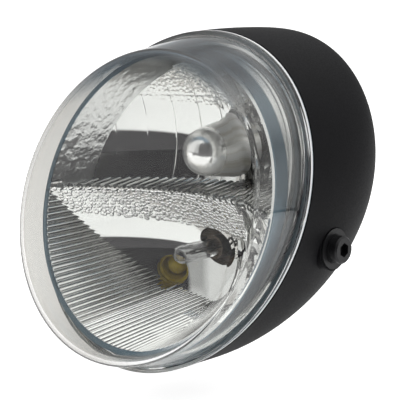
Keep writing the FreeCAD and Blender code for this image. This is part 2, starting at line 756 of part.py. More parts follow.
def check_and_write():
    """Stop on any failed object, then write each piece to its own file."""
    doc.recompute()
    failed = [o.Name for o in doc.Objects if {"Invalid", "Error"} & set(o.State)]
    if failed:
        raise RuntimeError(f"failed objects: {failed}")
    for piece in PIECES:
        if piece.Shape.isNull() or not piece.Shape.isValid():
            raise RuntimeError(f"bad shape: {piece.Label}")
    os.makedirs("parts", exist_ok=True)
    for piece in PIECES:
        piece.Shape.exportStep(f"parts/{piece.Label}.step")
        print(f"{piece.Label}: {piece.Shape.Volume:.0f} mm3, {len(piece.Shape.Solids)} solid(s)")


make_lens()
make_seal()
make_housing()
make_reflector()
make_shield()
make_bulb("upper", "upper_bulb_rise")
make_bulb("lower", "-lower_bulb_drop")
make_position_lamp()
make_side_bolts()
make_grommet()
check_and_write()
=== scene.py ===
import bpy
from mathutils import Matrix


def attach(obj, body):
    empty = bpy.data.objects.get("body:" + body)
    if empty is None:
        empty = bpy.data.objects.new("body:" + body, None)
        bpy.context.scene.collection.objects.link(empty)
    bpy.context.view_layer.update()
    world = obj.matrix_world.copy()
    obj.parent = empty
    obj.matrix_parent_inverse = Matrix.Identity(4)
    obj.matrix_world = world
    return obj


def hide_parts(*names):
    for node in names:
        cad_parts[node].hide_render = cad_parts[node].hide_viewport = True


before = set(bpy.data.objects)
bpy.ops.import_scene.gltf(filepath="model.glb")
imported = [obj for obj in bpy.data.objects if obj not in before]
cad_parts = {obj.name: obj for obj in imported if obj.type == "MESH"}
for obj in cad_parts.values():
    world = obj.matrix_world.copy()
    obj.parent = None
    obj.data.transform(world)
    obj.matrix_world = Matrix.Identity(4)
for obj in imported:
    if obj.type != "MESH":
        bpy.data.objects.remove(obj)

"""Looks of a round motorcycle headlight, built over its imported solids.

Pieces are laid out in the lamp's own millimetres: Y runs backward from the raked seat between lens and
housing, X to the side and Z up. to_row() moves them to the row frame, whose origin is the line of the
side bolts.
"""
import logging
import math
from collections.abc import Iterable, Sequence
from dataclasses import dataclass
from enum import Enum

import bmesh
import bpy
import numpy as np
from mathutils import Matrix, Vector

LOG = logging.getLogger("headlight")
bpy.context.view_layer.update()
BODY = "root"
MM = 0.001

# Step from the middle of the seat to the row's origin, and the lamp's shared slopes and sizes
PIVOT = np.array((0.0, -22.5, 18.0))
SEAT_LEAN = math.tan(math.radians(21.0))
FRONT_LEAN = math.tan(math.radians(16.0))
LIP_DEPTH = 16.0
SKIRT_RADIUS = 68.5
SKIRT_TAPER = 0.135
SMOOTH_LIMIT = math.radians(32.0)
# Distances in metres within which the corners of a mesh are one
BUILT_JOIN = 1e-7
CAD_JOIN = 1e-6

# Short names for types and for kinds of node
Points = np.ndarray
Profile = Sequence[tuple[float, float]]
Triple = tuple[float, float, float]
Material = bpy.types.Material
Mesh = bpy.types.Mesh
Node = bpy.types.Node
NodeTree = bpy.types.NodeTree
Object = bpy.types.Object
Socket = bpy.types.NodeSocket
ATTRIBUTE = "ShaderNodeAttribute"
BUMP = "ShaderNodeBump"
MATH = "ShaderNodeMath"
MIX = "ShaderNodeMix"
NOISE = "ShaderNodeTexNoise"
RANGE = "ShaderNodeMapRange"
VECTOR = "ShaderNodeVectorMath"


def linear(code: str) -> tuple[float, float, float, float]:
    """Turn an sRGB hex colour to linear.

    Args:
        code: Six hex digits of an sRGB colour.

    Returns:
        Its linear red, green and blue, with a full alpha.
    """
    parts = [int(code[k:k + 2], 16) / 255 for k in (0, 2, 4)]
    r, g, b = (c / 12.92 if c <= 0.04045 else ((c + 0.055) / 1.055) ** 2.4 for c in parts)
    return r, g, b, 1.0


def add_node(tree: NodeTree, kind: str, inputs: dict[str | int, object] | Sequence = (),
             **settings: object) -> Node:
    """Add a node with its settings, values and links.

    Args:
        tree: Tree that takes the node.
        kind: Blender's name of the node's type.
        inputs: What its sockets take, by name or number or in order: a value, a socket to link, or a node
            whose first output is linked.
        settings: Properties of the node.

    Returns:
        The node.
    """
    node = tree.nodes.new(kind)
    for name, value in settings.items():
        setattr(node, name, value)
    for key, value in inputs.items() if isinstance(inputs, dict) else enumerate(inputs):
        if isinstance(value, Node):
            value = value.outputs[0]
        if isinstance(value, Socket):
            tree.links.new(value, node.inputs[key])
        else:
            node.inputs[key].default_value = value
    return node


def to_row(points: Iterable) -> Points:
    """Lamp millimetres as metres in the row frame."""
    return (np.asarray(points, float) + PIVOT) * MM


def show(mesh: Mesh) -> Object:
    """Put a mesh in the scene as an object of the same name.

    Args:
        mesh: The mesh.

    Returns:
        Its object.
    """
    piece = bpy.data.objects.new(mesh.name, mesh)
    bpy.context.scene.collection.objects.link(piece)
    return piece


def settle(piece: Object, nodes: Sequence[str] = ()) -> Object:
    """Let a piece ride on the lamp and the nodes it stands for.

    Args:
        piece: The piece.
        nodes: CAD nodes that it stands for.

    Returns:
        The same piece.
    """
    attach(piece, BODY)
    if nodes:
        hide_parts(*nodes)
    LOG.info("%s: %d faces", piece.name, len(piece.data.polygons))
    return piece


def lamp_points(mesh: Mesh) -> Points:
    """Read where a mesh's vertices are.

    Args:
        mesh: Mesh in the row frame.

    Returns:
        Its vertices in lamp millimetres.
    """
    spots = np.empty(len(mesh.vertices) * 3)
    mesh.vertices.foreach_get("co", spots)
    return spots.reshape(-1, 3) / MM - PIVOT


def dress_mesh(mesh: Mesh, material: Material, join: float, limit: float = SMOOTH_LIMIT,
               thin: bool = False) -> None:
    """Join a closed mesh's loose corners, turn its faces outward and shade it smooth.

    Args:
        mesh: The mesh, which is changed.
        material: Its finish.
        join: Distance in metres within which corners are one.
        limit: Angle from which an edge stays sharp.
        thin: Whether faces without an area are taken out.
    """
    work = bmesh.new()
    work.from_mesh(mesh)
    bmesh.ops.remove_doubles(work, verts=work.verts, dist=join)
    if thin:
        bmesh.ops.dissolve_degenerate(work, edges=work.edges, dist=join)
    bmesh.ops.recalc_face_normals(work, faces=work.faces)
    work.to_mesh(mesh)
    work.free()
    mesh.polygons.foreach_set("use_smooth", [True] * len(mesh.polygons))
    mesh.set_sharp_from_angle(angle=limit)
    mesh.materials.append(material)


def make_piece(name: str, points: Points, faces: Sequence[Sequence[int]], material: Material,
               nodes: Sequence[str] = ()) -> Object:
    """Make a closed piece of the lamp that rides on its body.

    Args:
        name: Name of the piece.
        points: Its vertices in lamp millimetres.
        faces: Its faces as vertex numbers.
        material: Its finish.
        nodes: CAD nodes that it stands for.

    Returns:
        The object.
    """
    mesh = bpy.data.meshes.new(name)
    mesh.from_pydata([tuple(p) for p in to_row(points)], [], faces)
    dress_mesh(mesh, material, BUILT_JOIN, thin=True)
    return settle(show(mesh), nodes)


def lathe(profile: Profile, steps: int) -> tuple[Points, list[tuple[int, ...]]]:
    """Turn a closed outline about the lamp's axis into a solid.

    Args:
        profile: Corners as (radius, distance backward), in order. Corners on the axis close the solid.
        steps: Divisions round the axis.

    Returns:
        Vertices and faces.
    """
    turn = np.arange(steps) * math.tau / steps
    ring = np.stack([np.cos(turn), np.zeros(steps), np.sin(turn)], axis=1)
    points = np.concatenate([r * ring + (0.0, d, 0.0) for r, d in profile])
    count = len(profile)
    faces = []
    for k in range(count):
        after = (k + 1) % count
        if max(profile[k][0], profile[after][0]) < 1e-9:
            continue
        for j in range(steps):
            n = (j + 1) % steps
            faces.append((k * steps + j, k * steps + n, after * steps + n, after * steps + j))
    return points, faces


def rounded(profile: Profile, radius: float, cuts: int) -> list[tuple[float, float]]:
    """Round each corner of a closed outline that isn't on the axis.

    Args:
        profile: Corners as (radius, distance).
        radius: Radius of the rounding, less where a side is short.
        cuts: Points on each rounded corner.

    Returns:
        The new outline.
    """
    out: list[tuple[float, float]] = []
    count = len(profile)
    for k in range(count):
        before, here, after = (np.array(profile[(k + s) % count], float) for s in (-1, 0, 1))
        if here[0] < 1e-6:
            out.append(tuple(here))
            continue
        back, ahead = before - here, after - here
        reach = min(radius, np.linalg.norm(back) * 0.45, np.linalg.norm(ahead) * 0.45)
        start = here + back / np.linalg.norm(back) * reach
        end = here + ahead / np.linalg.norm(ahead) * reach
        for t in np.linspace(0, 1, cuts):
            out.append(tuple((1 - t) ** 2 * start + 2 * t * (1 - t) * here + t * t * end))
    return out


def lamp_place(tree: NodeTree, place: Socket) -> Node:
    """Object coordinates as lamp millimetres."""
    return add_node(tree, VECTOR, (place, (1 / MM,) * 3, tuple(-PIVOT)), operation="MULTIPLY_ADD")


# Materials made so far, by the names of their finishes
MADE: dict[str, Material] = {}


@dataclass(frozen=True)
class Finish:
    """Finish of a piece. Each kind of finish says what its shader takes."""

    name: str

    def shading(self, tree: NodeTree, place: Socket) -> dict[str, object]:
        """What the shader takes.

        Args:
            tree: Tree that takes the nodes.
            place: Object coordinates in metres.

        Returns:
            A value, node or socket for each named socket of the shader.
        """
        raise NotImplementedError

    def material(self) -> Material:
        """Make the finish as a node material when it is first asked for.

        Returns:
            The one material of this finish.
        """
        if self.name not in MADE:
            material = bpy.data.materials.new(self.name)
            material.use_nodes = True
            tree = material.node_tree
            tree.nodes.clear()
            place = add_node(tree, "ShaderNodeTexCoord").outputs["Object"]
            shader = add_node(tree, "ShaderNodeBsdfPrincipled", self.shading(tree, place))
            add_node(tree, "ShaderNodeOutputMaterial", {"Surface": shader})
            MADE[self.name] = material
        return MADE[self.name]


@dataclass(frozen=True)
class GrainFinish(Finish):
    """Opaque finish with a fine grain, slow colour drift and roughness that varies."""

    light: str
    dark: str
    roughness: tuple[float, float]
    metallic: float = 0.0
    grain_mm: float = 0.6
    grain_depth_mm: float = 0.02
    drift_mm: float = 14.0
    stretch: Triple = (1.0, 1.0, 1.0)
    gloss: float = 0.5
    spread: tuple[float, float] = (0.3, 0.7)

    def shading(self, tree: NodeTree, place: Socket) -> dict[str, object]:
        """Drifting colour, with roughness and bump from the grain.

        Args:
            tree: Tree that takes the nodes.
            place: Object coordinates in metres.

        Returns:
            What the named sockets of the shader take.
        """
        turn = add_node(tree, "ShaderNodeMapping", {"Vector": place, "Scale": self.stretch})
        drift = add_node(tree, NOISE, {"Vector": place, "Scale": 1 / (self.drift_mm * MM), "Detail": 4.0})
        grain = add_node(tree, NOISE, {"Vector": turn, "Scale": 1 / (self.grain_mm * MM), "Detail": 3.0})
        blend = add_node(tree, "ShaderNodeValToRGB", {"Fac": drift})
        for stop, at, tone in zip(blend.color_ramp.elements, self.spread, (self.dark, self.light)):
            stop.position = at
            stop.color = linear(tone)
        rough = add_node(tree, RANGE, (grain, *self.spread, *self.roughness))
        bump = add_node(tree, BUMP, {"Height": grain, "Strength": 1.0,
                                     "Distance": self.grain_depth_mm * MM})
        return {"Base Color": blend, "Roughness": rough, "Normal": bump, "Metallic": self.metallic,
                "Specular IOR Level": self.gloss}


@dataclass(frozen=True)
class ClearFinish(Finish):
    """Clear glass: polished, with a faint ripple from its mould."""

    tint: str
    index: float
    ripple_mm: float
    ripple_depth_mm: float

    def shading(self, tree: NodeTree, place: Socket) -> dict[str, object]:
        """Even tint and a slow ripple as bump.

        Args:
            tree: Tree that takes the nodes.
            place: Object coordinates in metres.

        Returns:
            What the named sockets of the shader take.
        """
        ripple = add_node(tree, NOISE, {"Vector": place, "Scale": 1 / (self.ripple_mm * MM), "Detail": 1.0})
        bump = add_node(tree, BUMP, {"Height": ripple, "Strength": 1.0,
                                     "Distance": self.ripple_depth_mm * MM})
        return {"Base Color": linear(self.tint), "Roughness": 0.0, "IOR": self.index,
                "Transmission Weight": 1.0, "Normal": bump}


@dataclass(frozen=True)
class LensFinish(ClearFinish):
    """Lens glass; its mesh's shares say where painted shade and reflection tint it and where its index is
    full.
    """

    left_painted_shade_tint: str
    top_painted_reflection_tint: str
    front_index: float

    def shading(self, tree: NodeTree, place: Socket) -> dict[str, object]:
        """Clear glass whose painted shade and reflection tints and whose index follow the mesh's shares.

        Args:
            tree: Tree that takes the nodes.
            place: Object coordinates in metres.

        Returns:
            What the named sockets of the shader take.
        """
        sockets = super().shading(tree, place)
        # Grey painted shade on the left wall, slate painted dark reflection at the top
        for share, tint in (("left_painted_shade", self.left_painted_shade_tint), ("top_painted_reflection", self.top_painted_reflection_tint)):
            level = add_node(tree, ATTRIBUTE, attribute_name=share).outputs["Fac"]
            tones = {0: level, 6: sockets["Base Color"], 7: linear(tint)}
            sockets["Base Color"] = add_node(tree, MIX, tones, data_type="RGBA").outputs[2]
        wall = add_node(tree, ATTRIBUTE, attribute_name="wall").outputs["Fac"]
        sockets["IOR"] = add_node(tree, RANGE, (wall, 0.0, 1.0, self.front_index, self.index))
        return sockets


@dataclass(frozen=True)
class MirrorFinish(Finish):
    """Vacuum-metallised moulding or plate: bright, with the orange peel of the lacquer under the metal."""

    tint: str
    roughness: float
    peel_mm: float
    peel_depth_mm: float
    metallic: float = 1.0

    def relief(self, tree: NodeTree, place: Socket) -> Node:
        """Height of the surface's relief in millimetres."""
        peel = add_node(tree, NOISE, {"Vector": place, "Scale": 1 / (self.peel_mm * MM), "Detail": 0.0})
        return add_node(tree, MATH, (peel, self.peel_depth_mm), operation="MULTIPLY")

    def shading(self, tree: NodeTree, place: Socket) -> dict[str, object]:
        """Metal in its tint, with the relief as bump.

        Args:
            tree: Tree that takes the nodes.
            place: Object coordinates in metres.

        Returns:
            What the named sockets of the shader take.
        """
        bump = add_node(tree, BUMP, {"Height": self.relief(tree, place), "Strength": 1.0, "Distance": MM})
        return {"Base Color": linear(self.tint), "Metallic": self.metallic, "Roughness": self.roughness,
                "Normal": bump}


class Field(Enum):
    """Optical fields of the reflector, as the mesh's attribute numbers them."""

    PLAIN = 0.0
    UPPER = 1.0
    LOWER = 2.0
    SKIRT = 3.0


@dataclass(frozen=True)
class OpticFinish(MirrorFinish):
    """Metallised moulding whose dishes carry columns, tilted facets and ripples."""

    field_slack: float = 0.4
    # Slate painted dark reflection round the rim's outside and on the lip's left, and where it lies
    slate_painted_reflection_tint: str = "5F717C"
    band_roughness: float = 0.3
    band_mm: tuple[float, float] = (9.5, 8.5)
    rim_mm: tuple[float, float] = (69.9, 70.0)
    lip_mm: tuple[float, float] = (67.8, 67.9)
    lip_face_mm: tuple[float, float] = (0.8, 0.4)
    lip_left_mm: tuple[float, float] = (45.0, 20.0)
    column_mm: float = 11.6
    column_depth_mm: float = 0.12
    row_mm: float = 44.0
    groove_share: float = 0.02
    groove_depth_mm: float = 0.06
    mottle_mm: float = 5.0
    mottle_depth_mm: float = 0.9
    ripple_mm: float = 1.5
    ripple_depth_mm: float = 0.16
    ripple_above_mm: tuple[float, float] = (39.0, 41.0)
    ripple_right_mm: tuple[float, float] = (-47.0, -45.0)
    facet_mm: float = 6.5
    facet_tilt: float = 1.6
    facet_random: float = 0.55
    facet_below_mm: tuple[float, float] = (41.0, 40.0)
    facet_right_mm: tuple[float, float] = (0.0, 1.0)
    low_facet_right_mm: tuple[float, float] = (13.0, 14.0)

    def share_of(self, tree: NodeTree, part: Field) -> Node:
        """One on a field of the moulding, nought off it."""
        number = add_node(tree, ATTRIBUTE, attribute_name="field").outputs["Fac"]
        return add_node(tree, MATH, (number, part.value, self.field_slack), operation="COMPARE")

    def shading(self, tree: NodeTree, place: Socket) -> dict[str, object]:
        """Silver, with a slate band of painted dark reflection round the outside of the rim and the left of
        its lip.

        Args:
            tree: Tree that takes the nodes.
            place: Object coordinates in metres.

        Returns:
            What the named sockets of the shader take.
        """
        sockets = super().shading(tree, place)
        spot = lamp_place(tree, place)
        x, y, z = add_node(tree, "ShaderNodeSeparateXYZ", (spot,)).outputs
        flat = add_node(tree, VECTOR, (spot, (1.0, 0.0, 1.0)), operation="MULTIPLY")
        radius = add_node(tree, VECTOR, (flat,), operation="LENGTH").outputs["Value"]
        depth = add_node(tree, MATH, (z, -FRONT_LEAN, y), operation="MULTIPLY_ADD")
        depth = add_node(tree, MATH, (depth, LIP_DEPTH), operation="ADD")
        # Where the slate painted reflection lies: round the rim's outside, and on the lip's face at its
        # left
        shares = [add_node(tree, RANGE, (value, *limits))
                  for value, limits in ((radius, self.rim_mm), (depth, self.band_mm), (radius, self.lip_mm),
                                        (depth, self.lip_face_mm), (x, self.lip_left_mm))]
        band = add_node(tree, MATH, shares[:2], operation="MULTIPLY")
        lip = add_node(tree, MATH, shares[2:4], operation="MULTIPLY")
        lip = add_node(tree, MATH, (lip, shares[4]), operation="MULTIPLY")
        band = add_node(tree, MATH, (band, lip), operation="MAXIMUM")
        tones = {0: band, 6: linear(self.tint), 7: linear(self.slate_painted_reflection_tint)}
        sockets["Base Color"] = add_node(tree, MIX, tones, data_type="RGBA").outputs[2]
        dull = add_node(tree, MATH, (band, self.share_of(tree, Field.SKIRT)), operation="MAXIMUM")
        sockets["Roughness"] = add_node(tree, RANGE, (dull, 0.0, 1.0, self.roughness, self.band_roughness))
        return sockets

    def grooves(self, tree: NodeTree, value: Socket, pitch: float) -> Node:
        """Height of the fine steps between neighbouring fields along one coordinate.

        Args:
            tree: Tree that takes the nodes.
            value: The coordinate in millimetres.
            pitch: Distance between the steps.

        Returns:
            Height in millimetres.
        """
        share = add_node(tree, MATH, (value, pitch), operation="DIVIDE")
        share = add_node(tree, MATH, (share,), operation="FRACT")
        away = add_node(tree, MATH, (share, 0.5), operation="SUBTRACT")
        away = add_node(tree, MATH, (away,), operation="ABSOLUTE")
        return add_node(tree, RANGE, (away, 0.5 - self.groove_share, 0.5, 0.0, self.groove_depth_mm))

    def facets(self, tree: NodeTree, spot: Node) -> Node:
        """Height of small flat facets, each tilted its own way.

        Args:
            tree: Tree that takes the nodes.
            spot: Place in lamp millimetres.

        Returns:
            Height in millimetres.
        """
        grid = {"Vector": spot, "Scale": 1 / self.facet_mm, "Randomness": self.facet_random}
        cells = add_node(tree, "ShaderNodeTexVoronoi", grid, distance="CHEBYCHEV")
        local = add_node(tree, VECTOR, (spot, cells.outputs["Position"]), operation="SUBTRACT")
        tilt = add_node(tree, VECTOR, (cells.outputs["Color"], (0.5, 0.5, 0.5)), operation="SUBTRACT")
        lean = add_node(tree, VECTOR, (local, tilt), operation="DOT_PRODUCT").outputs["Value"]
        return add_node(tree, MATH, (lean, self.facet_tilt), operation="MULTIPLY")

    def relief(self, tree: NodeTree, place: Socket) -> Node:
        """Height of peel, columns, ripples, facets and mottle, each on its own field.

        Args:
            tree: Tree that takes the nodes.
            place: Object coordinates in metres.

        Returns:
            Height in millimetres.
        """
        spot = lamp_place(tree, place)
        x, _, z = add_node(tree, "ShaderNodeSeparateXYZ", (spot,)).outputs
        share = add_node(tree, MATH, (x, self.column_mm), operation="DIVIDE")
        share = add_node(tree, MATH, (share,), operation="FRACT")
        pillow = add_node(tree, MATH, (share, 0.5), operation="SUBTRACT")
        pillow = add_node(tree, MATH, (pillow, 2.0), operation="POWER")
        columns = add_node(tree, MATH, (pillow, 4 * self.column_depth_mm), operation="MULTIPLY")
        cells = add_node(tree, "ShaderNodeTexVoronoi", {"Vector": spot, "Scale": 1 / self.ripple_mm},
                         feature="SMOOTH_F1")
        ripple = add_node(tree, MATH, (cells, self.ripple_depth_mm), operation="MULTIPLY")
        mottle = add_node(tree, NOISE, {"Vector": spot, "Scale": 1 / self.mottle_mm, "Detail": 2.0})
        mottle = add_node(tree, MATH, (mottle, self.mottle_depth_mm), operation="MULTIPLY")
        facet = self.facets(tree, spot)
        total = super().relief(tree, place)
        # Each height lies on its field of the moulding, inside the limits of its coordinates
        for height, part, limits in (
                (columns, Field.UPPER, ()),
                (self.grooves(tree, x, self.column_mm), Field.UPPER, ()),
                (self.grooves(tree, z, self.row_mm), Field.UPPER, ()),
                (ripple, Field.UPPER, ((z, self.ripple_above_mm), (x, self.ripple_right_mm))),
                (facet, Field.UPPER, ((z, self.facet_below_mm), (x, self.facet_right_mm))),
                (facet, Field.LOWER, ((x, self.low_facet_right_mm),)),
                (mottle, Field.SKIRT, ())):
            shares = [add_node(tree, RANGE, (value, *ends)) for value, ends in limits]
            for share in (self.share_of(tree, part), *shares):
                height = add_node(tree, MATH, (height, share), operation="MULTIPLY")
            total = add_node(tree, MATH, (total, height), operation="ADD")
        return total


@dataclass(frozen=True)
class ShieldFinish(MirrorFinish):
    """Pressed cap: a plated ball in front of a satin skirt with soft streaks round its axis."""

    streak: str = "DAD5CA"
    axis_height_mm: float = 20.0
    ball_end_mm: tuple[float, float] = (22.0, 24.0)
    streaks_round: float = 4.0
    streak_share: tuple[float, float] = (0.45, 0.65)
    satin_roughness: float = 0.3
    satin_metallic: float = 0.45

    def shading(self, tree: NodeTree, place: Socket) -> dict[str, object]:
        """Bright ball, streaked satin behind it.

        Args:
            tree: Tree that takes the nodes.
            place: Object coordinates in metres.

        Returns:
            What the named sockets of the shader take.
        """
        sockets = super().shading(tree, place)
        spot = lamp_place(tree, place)
        depth = add_node(tree, "ShaderNodeSeparateXYZ", (spot,)).outputs["Y"]
        behind = add_node(tree, RANGE, (depth, *self.ball_end_mm))
        about = add_node(tree, VECTOR, (spot, (1.0, 0.0, 1.0), (0.0, 0.0, -self.axis_height_mm)),
                         operation="MULTIPLY_ADD")
        about = add_node(tree, VECTOR, (about,), operation="NORMALIZE")
        streaks = add_node(tree, NOISE, {"Vector": about, "Scale": self.streaks_round, "Detail": 3.0})
        share = add_node(tree, RANGE, (streaks, *self.streak_share))
        share = add_node(tree, MATH, (share, behind), operation="MULTIPLY")
        tones = {0: share, 6: linear(self.tint), 7: linear(self.streak)}
        sockets["Base Color"] = add_node(tree, MIX, tones, data_type="RGBA").outputs[2]
        for socket, satin in (("Roughness", self.satin_roughness), ("Metallic", self.satin_metallic)):
            sockets[socket] = add_node(tree, RANGE, (behind, 0.0, 1.0, sockets[socket], satin))
        return sockets


@dataclass(frozen=True)
class TableFinish(Finish):
    """White table that shines by itself for all but diffuse rays and is dark before the open side."""

    light: str
    dark: str
    toward: Triple
    right: Triple
    front: tuple[float, float] = (0.36, 0.41)
    half: tuple[float, float] = (0.45, 0.55)
    slant: tuple[float, float] = (0.3, 0.4)
    least_across: float = 0.01
    roughness: float = 0.9
    glow: float = 0.55
    lift: float = 0.2

    def shading(self, tree: NodeTree, place: Socket) -> dict[str, object]:
        """White near the lamp and for the camera, dark where the table ends.

        Args:
            tree: Tree that takes the nodes.
            place: Object coordinates in metres.

        Returns:
            What the named sockets of the shader take.
        """
        path = add_node(tree, "ShaderNodeLightPath")
        ahead, across = (add_node(tree, VECTOR, (place, way), operation="DOT_PRODUCT").outputs["Value"]
                         for way in ((*self.toward[:2], 0.0), self.right))
        across = add_node(tree, MATH, (across,), operation="ABSOLUTE")
        slant = add_node(tree, MATH, (across, self.least_across), operation="MAXIMUM")
        slant = add_node(tree, MATH, (ahead, slant), operation="DIVIDE")
        before, beside, slanted = (add_node(tree, RANGE, (value, *limits)) for value, limits in (
            (ahead, self.front), (across, self.half), (slant, self.slant)))
        beside = add_node(tree, MATH, (beside, slanted), operation="MULTIPLY")
        beyond = add_node(tree, MATH, (before, beside), operation="MAXIMUM")
        unseen = add_node(tree, MATH, (1.0, path.outputs["Is Camera Ray"]), operation="SUBTRACT")
        beyond = add_node(tree, MATH, (beyond, unseen), operation="MULTIPLY")
        colour = add_node(tree, MIX, {0: beyond, 6: linear(self.light), 7: linear(self.dark)},
                          data_type="RGBA").outputs[2]
        clear = add_node(tree, MATH, (1.0, path.outputs["Is Diffuse Ray"]), operation="SUBTRACT")
        near = add_node(tree, MATH, (1.0, beyond), operation="SUBTRACT")
        shine = add_node(tree, MATH, (clear, near), operation="MULTIPLY")
        level = add_node(tree, MATH, (path.outputs["Is Camera Ray"], self.lift, self.glow),
                         operation="MULTIPLY_ADD")
        shine = add_node(tree, MATH, (shine, level), operation="MULTIPLY")
        return {"Base Color": colour, "Roughness": self.roughness, "Emission Color": linear("FFFFFF"),
                "Emission Strength": shine}


# Pressed glass: colourless, with a slow ripple that only reflections show. Its front has a low index, which
# keeps the mirrors behind it clear of glare. Its wall is grey at the left as painted shade, and slate at
# the top as a painted dark reflection.
LENS_CLEAR = LensFinish("pressed_clear_glass", "F8F9F8", 1.52, 45.0, 0.006, "CFCDC9", "5F707C", 1.3)
# Drawn quartz tube of a bulb: thin, colourless, faintly wavy along its length.
BULB_GLASS = ClearFinish("drawn_quartz_glass", "FFFFFF", 1.46, 8.0, 0.01)
# Aluminium vapour on a lacquered moulding: near mirror, with soft orange peel, columns, ripples and facets.
# A slate painted dark reflection lies round the outside of its rim and on the left of its lip.
MIRROR = OpticFinish("aluminised_moulding", "D9D9D7", 0.03, 12.0, 0.012)
# The same metal on the small domes: bright and a little softer.
PEBBLE = MirrorFinish("aluminised_pebbles", "FAFAFA", 0.06, 3.0, 0.002)
# Blunt ends of the shelf's bars: dull grey, painted shade.
SHADED_END = GrainFinish("bar_end_painted_shade", "6A6B6A", "505150", (0.3, 0.45), 0.6, 0.5, 0.01)
# Chrome plate on a pressed cap: a soft mirror on the ball, streaked satin on the skirt.
SHIELD_CHROME = ShieldFinish("satin_chrome_plate", "FCFBF9", 0.14, 6.0, 0.003, 0.7)
# Glass-filled nylon from a spark-eroded mould: matt and almost black. Its grain is drawn coarser than the
# real one, so that it shows.
HOUSING_BLACK = GrainFinish("grained_black_nylon", "0B0B0E", "08080A", (0.55, 0.68), 0.0, 0.7, 0.03,
                            gloss=0.13)
# Black-oxide steel: dark grey metal with a dull oily sheen.
BOLT_BLACK = GrainFinish("black_oxide_steel", "121214", "0C0C0E", (0.38, 0.52), 0.3, 0.4, 0.01)
# Slate-grey silicone seal: soft and dull, the bluish line that shows through the lens's flange.
SEAL_SLATE = GrainFinish("slate_silicone", "84929A", "717F88", (0.45, 0.6), 0.0, 0.5, 0.01)
# Moulded rubber: soft, dull and slightly bloomed.
RUBBER = GrainFinish("moulded_black_rubber", "2A2A2A", "202020", (0.7, 0.85), 0.0, 0.5, 0.02)
# Pressed and plated sheet steel of the bulb bases: brownish grey metal, drawn in one direction.
PLATED_STEEL = GrainFinish("plated_sheet_steel", "5E544A", "382F28", (0.22, 0.4), 1.0, 0.3, 0.004, 6.0,
                           (1, 1, 6))
# Drawn spring wire: bright and finely scored along its length.
SPRING_WIRE = GrainFinish("drawn_spring_steel", "B8B8B6", "9A9A98", (0.2, 0.32), 1.0, 0.3, 0.003, 6.0,
                          (6, 6, 1))
# Stamped brass blades, lightly tarnished.
BRASS = GrainFinish("stamped_brass", "C2A25A", "9D7F3F", (0.25, 0.4), 1.0, 0.4, 0.004, 5.0)
# Tungsten wire: dark grey metal.
TUNGSTEN = GrainFinish("tungsten_wire", "6E6C6A", "55534F", (0.35, 0.5), 1.0, 0.2, 0.004, 3.0)
# Black phenolic plugs: matt with a faint flow pattern.
PHENOLIC = GrainFinish("black_phenolic", "2B2A28", "201F1E", (0.45, 0.6), 0.0, 0.6, 0.015)
# Ground edge of the lens, finely frosted: near white, a painted highlight of the light the glass edge
# gathers as a white line.
PAINTED_HIGHLIGHT_EDGE = GrainFinish("lens_edge_painted_highlight", "FBFCFC", "F1F3F4", (0.35, 0.5), 0.0, 0.5, 0.006)
# The same edge on the lens's left: slate grey, painted shade where it stays dark.
PAINTED_SHADE_EDGE = GrainFinish("lens_edge_painted_shade", "5A6065", "464C51", (0.3, 0.45), 0.0, 0.5, 0.006)
# Frosted bulb of the position lamp: satin olive yellow.
POSITION_GLASS = GrainFinish("frosted_olive_glass", "D8BE20", "AE9212", (0.12, 0.25), 0.0, 0.6, 0.004, 4.0)
# Olive nylon lamp holder: satin moulding.
HOLDER = GrainFinish("olive_nylon", "D6BC1E", "A48A10", (0.4, 0.55), 0.0, 0.6, 0.015, 5.0)


